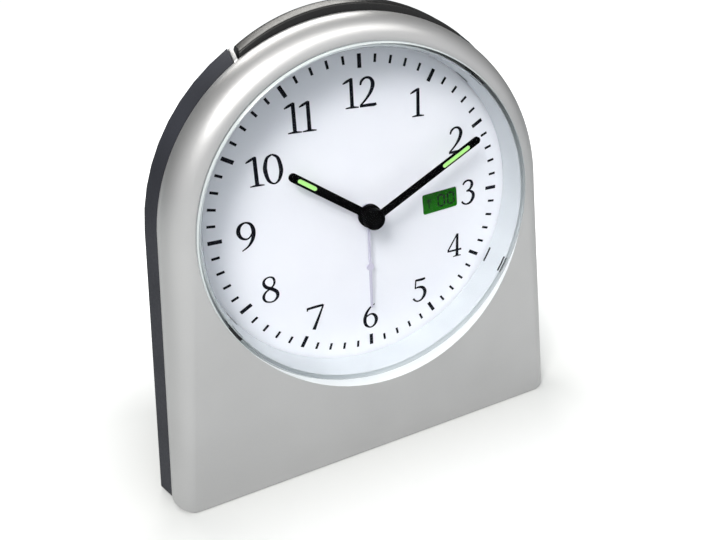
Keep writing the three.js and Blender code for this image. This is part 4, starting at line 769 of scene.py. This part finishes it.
def glow_fill(hand):
    """Glow paint in a slot: a flooded fill, slightly domed by its own skin."""
    bm = bmesh.new()
    edges = slot_loop(bm, LUMES[hand], PAINT_WIDTH / 2, BLADES[hand]["y"] + PAINT_SUNK)
    face = bmesh.ops.contextual_create(bm, geom=edges)["faces"]
    inner = bmesh.ops.inset_region(bm, faces=face, thickness=PAINT_SKIN[0], depth=0.0)
    crown = [f for f in bm.faces if f not in inner["faces"]]
    bmesh.ops.translate(bm, verts=list({v for f in crown for v in f.verts}), vec=(0, -PAINT_SKIN[1], 0))
    sides = bmesh.ops.extrude_edge_only(bm, edges=[e for e in bm.edges if e.is_boundary])
    bmesh.ops.translate(bm, verts=new_verts(sides), vec=(0, PAINT_DEPTH, 0))
    bmesh.ops.holes_fill(bm, edges=[e for e in bm.edges if e.is_boundary], sides=0)
    turn_clockwise(bm, bm.verts, HAND_ANGLES[hand])
    return bm


for hand in BLADES:
    finish_piece(f"{hand}_baton", baton_hand(hand), hand_black, f"{hand}_train", [f"{hand}_hand"])
for hand in BLADES:
    finish_piece(f"{hand}_glow", glow_fill(hand), glow_paint, f"{hand}_train", [f"{hand}_hand_lume"])


# Dial print

INK = 0.02  # how far ink stands off the dial
STROKE_STEP = 0.004  # each stroke of a figure stands a little higher, so that crossings don't flicker
NUMBER_HEIGHT = 6.4
NUMBER_RADIUS = 27.8
NUMBER_SHIFT = {10: 1.9, 11: 0.3}  # how far a number is set to the right of its place on the circle
FIGURE_WIDTH = 0.66  # in figure heights
NARROW_FIGURES = {"1": 0.5}
BOLD = 1.28  # how much broader the ink runs than the pen
HOUR_TICK = (0.45, 33.0, 36.0)  # half the width, then the radii between which it lies
MINUTE_TICK = (0.3, 34.1, 35.9)

# Pen strokes of each figure: points of across, up and pen width, in figure heights, smoothed where they bend.
FIGURES = {
    "0": [[(0.0, 1.0, 0.045), (-0.17, 0.9, 0.075), (-0.255, 0.66, 0.105), (-0.265, 0.45, 0.11),
           (-0.19, 0.14, 0.085), (-0.02, 0.0, 0.045), (0.15, 0.09, 0.07), (0.245, 0.33, 0.105),
           (0.255, 0.55, 0.11), (0.18, 0.87, 0.085), (0.0, 1.0, 0.045)]],
    "1": [[(0.0, 1.0, 0.1), (0.0, 0.0, 0.105)],
          [(-0.3, 0.83, 0.03), (-0.16, 0.9, 0.07), (0.03, 0.985, 0.06)],
          [(-0.24, 0.012, 0.03), (0.0, 0.03, 0.06), (0.24, 0.012, 0.03)]],
    "2": [[(-0.25, 0.74, 0.05), (-0.2, 0.88, 0.07), (-0.05, 0.975, 0.06), (0.12, 0.94, 0.08),
           (0.205, 0.77, 0.115), (0.14, 0.53, 0.1), (-0.04, 0.28, 0.065), (-0.28, 0.05, 0.05)],
          [(-0.3, 0.035, 0.07), (0.0, 0.045, 0.085), (0.24, 0.045, 0.085), (0.31, 0.075, 0.07)]],
    "3": [[(-0.24, 0.83, 0.055), (-0.15, 0.94, 0.07), (0.0, 0.98, 0.06), (0.14, 0.91, 0.085),
           (0.17, 0.77, 0.105), (0.09, 0.62, 0.075), (-0.07, 0.545, 0.05)],
          [(-0.08, 0.55, 0.045), (0.1, 0.53, 0.07), (0.235, 0.4, 0.105), (0.235, 0.22, 0.115),
           (0.11, 0.05, 0.085), (-0.06, 0.005, 0.055), (-0.2, 0.06, 0.06), (-0.28, 0.15, 0.06)]],
    "4": [[(0.12, 0.98, 0.05), (-0.3, 0.31, 0.055)],
          [(-0.32, 0.285, 0.06), (0.33, 0.285, 0.07)],
          [(0.125, 1.0, 0.085), (0.125, 0.0, 0.105)],
          [(-0.06, 0.012, 0.03), (0.12, 0.03, 0.055), (0.31, 0.012, 0.03)]],
    "5": [[(-0.17, 0.955, 0.075), (0.1, 0.945, 0.09), (0.25, 0.965, 0.075)],
          [(-0.17, 0.985, 0.05), (-0.2, 0.59, 0.045)],
          [(-0.215, 0.6, 0.04), (-0.05, 0.63, 0.07), (0.14, 0.57, 0.1), (0.235, 0.39, 0.115),
           (0.2, 0.19, 0.105), (0.06, 0.03, 0.07), (-0.1, 0.0, 0.055), (-0.22, 0.07, 0.06),
           (-0.29, 0.17, 0.065)]],
    "6": [[(0.2, 1.0, 0.03), (0.02, 0.9, 0.06), (-0.16, 0.68, 0.09), (-0.245, 0.4, 0.11),
           (-0.2, 0.15, 0.09), (-0.02, 0.005, 0.05), (0.16, 0.08, 0.08), (0.245, 0.3, 0.11),
           (0.17, 0.51, 0.09), (0.02, 0.59, 0.055), (-0.14, 0.53, 0.05), (-0.225, 0.44, 0.04)]],
    "7": [[(-0.32, 0.93, 0.075), (0.0, 0.945, 0.085), (0.3, 0.95, 0.075)],
          [(-0.31, 0.965, 0.05), (-0.325, 0.83, 0.04)],
          [(0.31, 0.965, 0.05), (0.1, 0.5, 0.075), (-0.13, 0.0, 0.11)]],
    "8": [[(0.19, 0.79, 0.07), (0.14, 0.93, 0.06), (0.0, 0.985, 0.045), (-0.15, 0.92, 0.06),
           (-0.2, 0.77, 0.085), (-0.11, 0.61, 0.1), (0.08, 0.5, 0.105), (0.23, 0.35, 0.105),
           (0.24, 0.17, 0.085), (0.12, 0.03, 0.055), (-0.03, 0.005, 0.045), (-0.2, 0.08, 0.06),
           (-0.255, 0.25, 0.08), (-0.17, 0.42, 0.06), (0.0, 0.53, 0.045), (0.14, 0.64, 0.055),
           (0.19, 0.79, 0.07)]],
    "9": [[(0.24, 0.64, 0.04), (0.1, 0.44, 0.045), (-0.04, 0.4, 0.055), (-0.19, 0.49, 0.085),
           (-0.255, 0.7, 0.11), (-0.18, 0.9, 0.09), (0.0, 0.99, 0.05), (0.18, 0.9, 0.08),
           (0.25, 0.66, 0.11), (0.2, 0.38, 0.095), (0.04, 0.14, 0.06), (-0.2, -0.01, 0.03)]],
}


def smooth_line(points, steps=6):
    """The points of a stroke with more laid between them on a smooth curve."""
    path = [Vector(p) for p in points]
    if len(path) == 2:
        return path
    path = [2 * path[0] - path[1]] + path + [2 * path[-1] - path[-2]]
    found = []
    for a, b, c, d in zip(path, path[1:], path[2:], path[3:]):
        for i in range(steps):
            t = i / steps
            found.append(0.5 * (2 * b + (c - a) * t + (2 * a - 5 * b + 4 * c - d) * t * t
                                + (3 * b - a - 3 * c + d) * t ** 3))
    return found + [path[-2]]


def pen_stroke(bm, points, place, lift):
    """Pushes an edge along a stroke, as wide as the pen at each point."""
    line = smooth_line(points)
    edge = None
    for i, point in enumerate(line):
        ahead = line[min(i + 1, len(line) - 1)] - line[max(i - 1, 0)]
        side = Vector((-ahead.y, ahead.x)).normalized() * point.z * BOLD / 2
        ends = [place + Vector((x * NUMBER_HEIGHT, -lift, z * NUMBER_HEIGHT))
                for x, z in ((point.x + side.x, point.y + side.y), (point.x - side.x, point.y - side.y))]
        if edge is None:
            edge = bm.edges.new([bm.verts.new(e) for e in ends])
            pair = list(edge.verts)
            continue
        made = bmesh.ops.extrude_edge_only(bm, edges=[edge])["geom"]
        edge = next(g for g in made if isinstance(g, bmesh.types.BMEdge))
        fresh = list(edge.verts)
        if not any(e.other_vert(fresh[0]) == pair[0] for e in fresh[0].link_edges):
            fresh.reverse()
        for vert, end in zip(fresh, ends):
            vert.co = end
        pair = fresh


def dial_numbers():
    """The hours in upright book figures round the dial, their faces turned to the front."""
    bm = bmesh.new()
    for number in range(1, 13):
        turn = math.radians(30 * number)
        across = NUMBER_RADIUS * math.sin(turn) + NUMBER_SHIFT.get(number, 0.0)
        middle = Vector((across, DIAL_Y, DIAL_Z + NUMBER_RADIUS * math.cos(turn)))
        text = str(number)
        widths = [NARROW_FIGURES.get(figure, FIGURE_WIDTH) for figure in text]
        left = -sum(widths) / 2
        for figure, width in zip(text, widths):
            place = middle + Vector(((left + width / 2) * NUMBER_HEIGHT, 0, -NUMBER_HEIGHT / 2))
            for i, stroke in enumerate(FIGURES[figure]):
                pen_stroke(bm, stroke, place, INK + STROKE_STEP * i)
            left += width
    bmesh.ops.recalc_face_normals(bm, faces=bm.faces)
    for f in bm.faces:
        if f.normal.y > 0:
            f.normal_flip()
    return bm


def dial_ticks():
    """Sixty ticks, the hours longer and broader."""
    bm = bmesh.new()
    for i in range(60):
        half, inner, outer = MINUTE_TICK if i % 5 else HOUR_TICK
        tick = add_box(bm, (-half, DIAL_Y - INK, DIAL_Z + inner), (half, DIAL_Y + INK, DIAL_Z + outer))
        turn_clockwise(bm, tick, 6 * i)
    return bm


hang("dial_numbers", dial_numbers(), dial_ink, "case")
finish_piece("dial_ticks", dial_ticks(), dial_ink, "case")


# Display

DISPLAY_CENTRE = Vector((19.8, DIAL_Y + 0.1, DIAL_Z - 0.85))
BAR_THICKNESS = 0.02
FIGURES_AT = (0.35, 3.05)
MAST_AT = -3.1
# Each bar's middle across and up from the middle of its figure or mast, its width and height, and its lean.
LEVEL_BARS = [(0, up, 1.1, 0.5, 0) for up in (-1.45, 1.45)]
UPRIGHT_BARS = [(across, up, 0.5, 1.2, 0) for across in (-0.85, 0.85) for up in (-0.74, 0.74)]
MAST_BARS = [(0, -0.2, 0.3, 2.3, 0), (0, 1.0, 1.5, 0.22, 0),
             (-0.45, 0.45, 0.2, 0.9, 32), (0.45, 0.45, 0.2, 0.9, -32)]


def display_mark():
    """Two figures of bars and a small mast, as the display shows while it listens for the time signal."""
    bm = bmesh.new()
    signs = [(x, LEVEL_BARS + UPRIGHT_BARS) for x in FIGURES_AT] + [(MAST_AT, MAST_BARS)]
    for x, bars in signs:
        for across, up, width, height, lean in bars:
            place = Matrix.Translation(DISPLAY_CENTRE + Vector((x + across, -BAR_THICKNESS / 2, up)))
            turn = Matrix.Rotation(math.radians(lean), 4, "Y")
            size = Matrix.Diagonal((width, BAR_THICKNESS, height, 1))
            bmesh.ops.create_cube(bm, size=1.0, matrix=place @ turn @ size)
    bmesh.ops.rotate(bm, verts=bm.verts, cent=DISPLAY_CENTRE,
                     matrix=Matrix.Rotation(math.radians(-DISPLAY_LEAN), 3, "Y"))
    return bm


finish_piece("display_bars", display_mark(), display_bars, "case")


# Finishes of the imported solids

FINISHES = {
    charcoal_abs: ["rear_case", "battery_door"],
    dial_white: ["dial"],
    display_green: ["display_panel"],
    frosted_guide: ["display_light_guide"],
    hand_lilac: ["alarm_hand"],
    brass: ["minute_wheel", "alarm_buzzer"],
    white_acetal: ["motion_wheel", "hour_wheel", "alarm_wheel", "train_wheel", "alarm_set_shaft"],
    magnet: ["motor_rotor"],
    stator_steel: ["motor_stator"],
    copper_wire: ["motor_coil", "antenna_coil"],
    movement_black: ["movement_base", "movement_cover"],
    control_black: ["alarm_set_knob", "alarm_slide", "receive_button", "set_button", "reset_button",
                    "receive_switch", "set_switch", "reset_switch", "snooze_switch", "control_chip"],
    solder_resist: ["circuit_board"],
    nickel: ["timing_crystal", "contact_link", "contact_negative", "contact_positive", "alarm_switch"],
    ferrite: ["antenna_rod"],
    cell_sleeve: ["battery_lower", "battery_upper"],
    screw_zinc: ["case_screw_lower_left", "case_screw_lower_right", "case_screw_upper_left",
                 "case_screw_upper_right"],
}
FINISH_OF = {name: finish for finish, names in FINISHES.items() for name in names}
BODY_OF = {name: body for body, names in frame["record"]["behaviour"]["bodies"].items() for name in names}

for name, finish in FINISH_OF.items():
    nodes[name].data.materials.clear()
    nodes[name].data.materials.append(finish)


# Softer copies of moulded and turned solids

# How far the outer edges of each copy are rounded.
SOFTENED = {"rear_case": 0.0, "battery_door": 0.3, "alarm_set_knob": 0.25, "alarm_slide": 0.2,
            "receive_button": 0.25, "set_button": 0.25, "reset_button": 0.25,
            "battery_lower": 0.4, "battery_upper": 0.4, "alarm_hand": 0.0}
SOLID_MERGE = 1e-3
FLAT_WITHIN = 0.6  # degrees
OUTER_EDGE = 50  # degrees between the faces at an edge that is rounded


def softened(name, round_by):
    """A copy of a solid as one joined skin: flat faces whole, curves smooth, outer edges rounded a little."""
    bm = bmesh.new()
    bm.from_mesh(nodes[name].data)
    bmesh.ops.transform(bm, matrix=Matrix.Scale(1 / MM, 4) @ nodes[name].matrix_world, verts=bm.verts)
    bmesh.ops.remove_doubles(bm, verts=bm.verts, dist=SOLID_MERGE)
    bmesh.ops.dissolve_limit(bm, angle_limit=math.radians(FLAT_WITHIN), verts=bm.verts, edges=bm.edges)
    bmesh.ops.recalc_face_normals(bm, faces=bm.faces)
    if round_by:
        outer = [e for e in bm.edges if len(e.link_faces) == 2
                 and e.calc_face_angle_signed() > math.radians(OUTER_EDGE)]
        round_edges(bm, outer, round_by, 2)
    made = finish_piece(name + "_softened", bm, FINISH_OF[name], BODY_OF[name], [name],
                        sharp=32.0)
    made.modifiers.new("even_faces", "WEIGHTED_NORMAL").keep_sharp = True


for name, round_by in SOFTENED.items():
    softened(name, round_by)


# Coils

WIRE = 0.5  # one turn of wire
WIRE_RISE = 0.14
WIRE_SHARP = 60.0
WIRE_DRAWN_IN = (0.95, 0.93, 1)  # the scale of the rings between the motor coil's turns
COIL_WALL = 1.2
BOBBIN_CORNER = 1.0


def half_turns(low, high):
    """Places half a turn of wire apart, from one end of a coil to the other."""
    count = 2 * round((high - low) / WIRE)
    return [low + (high - low) * i / count for i in range(count + 1)]


def antenna_winding():
    """Turns of wire side by side round the ferrite rod, spun about its axis."""
    bm = bmesh.new()
    low, high = (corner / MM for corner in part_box("antenna_coil"))
    centre = (low + high) / 2
    radius = (high.z - low.z) / 2
    profile = [(low.x, radius - COIL_WALL)]
    profile += [(x, radius - WIRE_RISE * (1 - i % 2)) for i, x in enumerate(half_turns(low.x, high.x))]
    profile += [(high.x, radius - COIL_WALL)]
    points = [Vector((x, centre.y, centre.z + height)) for x, height in profile]
    full_turn(bm, add_chain(bm, points, closed=True), centre, ACROSS, 48)
    return bm


def motor_winding():
    """Turns of wire on the motor's bobbin: a rounded block cut into rings, every other ring drawn in."""
    bm = bmesh.new()
    low, high = (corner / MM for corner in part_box("motor_coil"))
    add_box(bm, low, high)
    upright = [e for e in bm.edges if abs(e.verts[0].co.z - e.verts[1].co.z) > BOBBIN_CORNER]
    round_edges(bm, upright, BOBBIN_CORNER, 4)
    levels = half_turns(low.z, high.z)
    for z in levels[1:-1]:
        cut_by_plane(bm, (0, 0, z), (0, 0, 1))
    for z in levels[::2]:
        ring = [v for v in bm.verts if abs(v.co.z - z) < SOLID_MERGE]
        bmesh.ops.scale(bm, vec=WIRE_DRAWN_IN, verts=ring, space=Matrix.Translation(-(low + high) / 2))
    return bm


finish_piece("antenna_winding", antenna_winding(), copper_wire, "case", ["antenna_coil"],
             WIRE_SHARP)
finish_piece("motor_winding", motor_winding(), copper_wire, "case", ["motor_coil"], WIRE_SHARP)


# Stage, in metres

FLOOR_HALF = 6.0
FOOTPRINT = (0.052, 0.02, 0)  # half the clock's width and depth
GLOW_REACH = 0.06  # the distance over which the floor's glow changes
FLOOR_LIFT = (0.12, 0.82)  # the floor's own glow, at the clock's foot and away from it
FLOOR_MIRRORED = 0.24  # that glow in reflections, in front of the clock only
ROOM_MIRRORED = ("#fbfbfb", "#505050")  # the room in reflections, in front of the clock and behind it
ROOM_TURN = 0.6  # how squarely a reflection looks forward or back where the room has its full tone
ROOM_LIGHT = "#a1aaad"  # what the room sheds on dull surfaces


def plain_sight(tree):
    """One for what is seen straight, through the lens or mirrored; nought for light on dull surfaces."""
    bounces = add_node(tree, "ShaderNodeLightPath").outputs["Diffuse Depth"]
    return add_node(tree, "ShaderNodeMath", {0: bounces, 1: 0.5}, operation="LESS_THAN").outputs[0]


def floor_paper():
    """Matt white paper that glows, so as to show white to the camera, and less so at the clock's foot, where
    its shadow stays, and the dimmer glow there is painted shade round the footprint."""
    made, tree, shader, place = start_material("plain_white_floor", Roughness=0.9, Specular_IOR_Level=0.0)
    shader.inputs["Base Color"].default_value = hex_colour("#c8c8c8")
    apart = add_node(tree, "ShaderNodeVectorMath", {0: place}, operation="ABSOLUTE").outputs[0]
    beyond = add_node(tree, "ShaderNodeVectorMath", {0: apart, 1: FOOTPRINT}, operation="SUBTRACT").outputs[0]
    outside = add_node(tree, "ShaderNodeVectorMath", {0: beyond, 1: (0, 0, 0)}, operation="MAXIMUM").outputs[0]
    away = add_node(tree, "ShaderNodeVectorMath", {0: outside}, operation="LENGTH").outputs["Value"]
    rise = add_node(tree, "ShaderNodeMapRange", {"Value": away, "From Min": 0.0, "From Max": GLOW_REACH,
                                                 "To Min": FLOOR_LIFT[0], "To Max": FLOOR_LIFT[1]})
    depth = add_node(tree, "ShaderNodeSeparateXYZ", {"Vector": place}).outputs["Y"]
    front = add_node(tree, "ShaderNodeMapRange", {"Value": depth, "From Min": -GLOW_REACH, "From Max": 0.0,
                                                  "To Min": FLOOR_MIRRORED, "To Max": 0.0})
    direct = add_node(tree, "ShaderNodeLightPath").outputs["Is Camera Ray"]
    glow = add_node(tree, "ShaderNodeMapRange", {"Value": direct, "To Min": front.outputs["Result"],
                                                 "To Max": rise.outputs["Result"]}).outputs["Result"]
    lift = add_node(tree, "ShaderNodeMath", {0: plain_sight(tree), 1: glow}, operation="MULTIPLY")
    shader.inputs["Emission Color"].default_value = (1, 1, 1, 1)
    tree.links.new(lift.outputs[0], shader.inputs["Emission Strength"])
    return made


def pale_floor():
    """A wide sheet of paper below the clock."""
    bm = bmesh.new()
    bmesh.ops.create_grid(bm, x_segments=1, y_segments=1, size=FLOOR_HALF)
    mesh = bpy.data.meshes.new("floor")
    bm.to_mesh(mesh)
    bm.free()
    mesh.materials.append(floor_paper())
    made = bpy.data.objects.new("floor", mesh)
    bpy.context.scene.collection.objects.link(made)


def studio_world():
    """A white room: white to the camera, darker behind the clock in reflections, dim and bluish as light."""
    world = bpy.data.worlds.new("studio")
    bpy.context.scene.world = world
    world.use_nodes = True
    tree = world.node_tree
    way = add_node(tree, "ShaderNodeTexCoord").outputs["Generated"]
    depth = add_node(tree, "ShaderNodeSeparateXYZ", {"Vector": way}).outputs["Y"]
    back = add_node(tree, "ShaderNodeMapRange",
                    {"Value": depth, "From Min": -ROOM_TURN, "From Max": ROOM_TURN}).outputs["Result"]
    ahead, behind = (hex_colour(tone) for tone in ROOM_MIRRORED)
    mirrored = add_node(tree, "ShaderNodeMix", {0: back, 6: ahead, 7: behind}, data_type="RGBA").outputs[2]
    shed = add_node(tree, "ShaderNodeMix", {0: plain_sight(tree), 6: hex_colour(ROOM_LIGHT), 7: mirrored},
                    data_type="RGBA").outputs[2]
    direct = add_node(tree, "ShaderNodeLightPath").outputs["Is Camera Ray"]
    look = add_node(tree, "ShaderNodeMix", {0: direct, 6: shed, 7: hex_colour("#ffffff")}, data_type="RGBA")
    tree.links.new(look.outputs[2], tree.nodes["Background"].inputs["Color"])


def soft_lamp(name, place, target, size, power):
    """A soft box of that width and height which faces a point."""
    lamp = bpy.data.lights.new(name, "AREA")
    lamp.shape = "RECTANGLE"
    lamp.size, lamp.size_y = size
    lamp.energy = power
    lamp.color = hex_colour("#fffdf8")[:3]
    made = bpy.data.objects.new(name, lamp)
    made.location = place
    made.rotation_euler = (Vector(target) - Vector(place)).to_track_quat("-Z", "Y").to_euler()
    bpy.context.scene.collection.objects.link(made)


def photo_camera():
    """The photograph's view, found from the dial's minute marks."""
    camera = bpy.data.cameras.new("photo_view")
    camera.sensor_width = 36
    camera.lens = 32.123
    camera.shift_x = -0.0642
    camera.shift_y = -0.0728
    camera.clip_start = 0.005
    made = bpy.data.objects.new("photo_view", camera)
    made.location = (-0.05242, -0.13956, 0.11633)
    made.rotation_euler = [math.radians(a) for a in (67.555, 1.096, -26.688)]
    bpy.context.scene.collection.objects.link(made)
    bpy.context.scene.camera = made


pale_floor()
studio_world()
soft_lamp("key", place=(-0.38, -0.40, 0.58), target=(0, 0, 0.06), size=(0.24, 0.24), power=4.0)
soft_lamp("overhead", place=(0.08, -0.32, 0.74), target=(0, 0, 0.09), size=(0.8, 0.25), power=2.0)
soft_lamp("back", place=(0.0, 0.55, 0.62), target=(0, 0, 0.09), size=(0.6, 0.3), power=3.2)
photo_camera()
bpy.context.scene.view_settings.view_transform = "Standard"
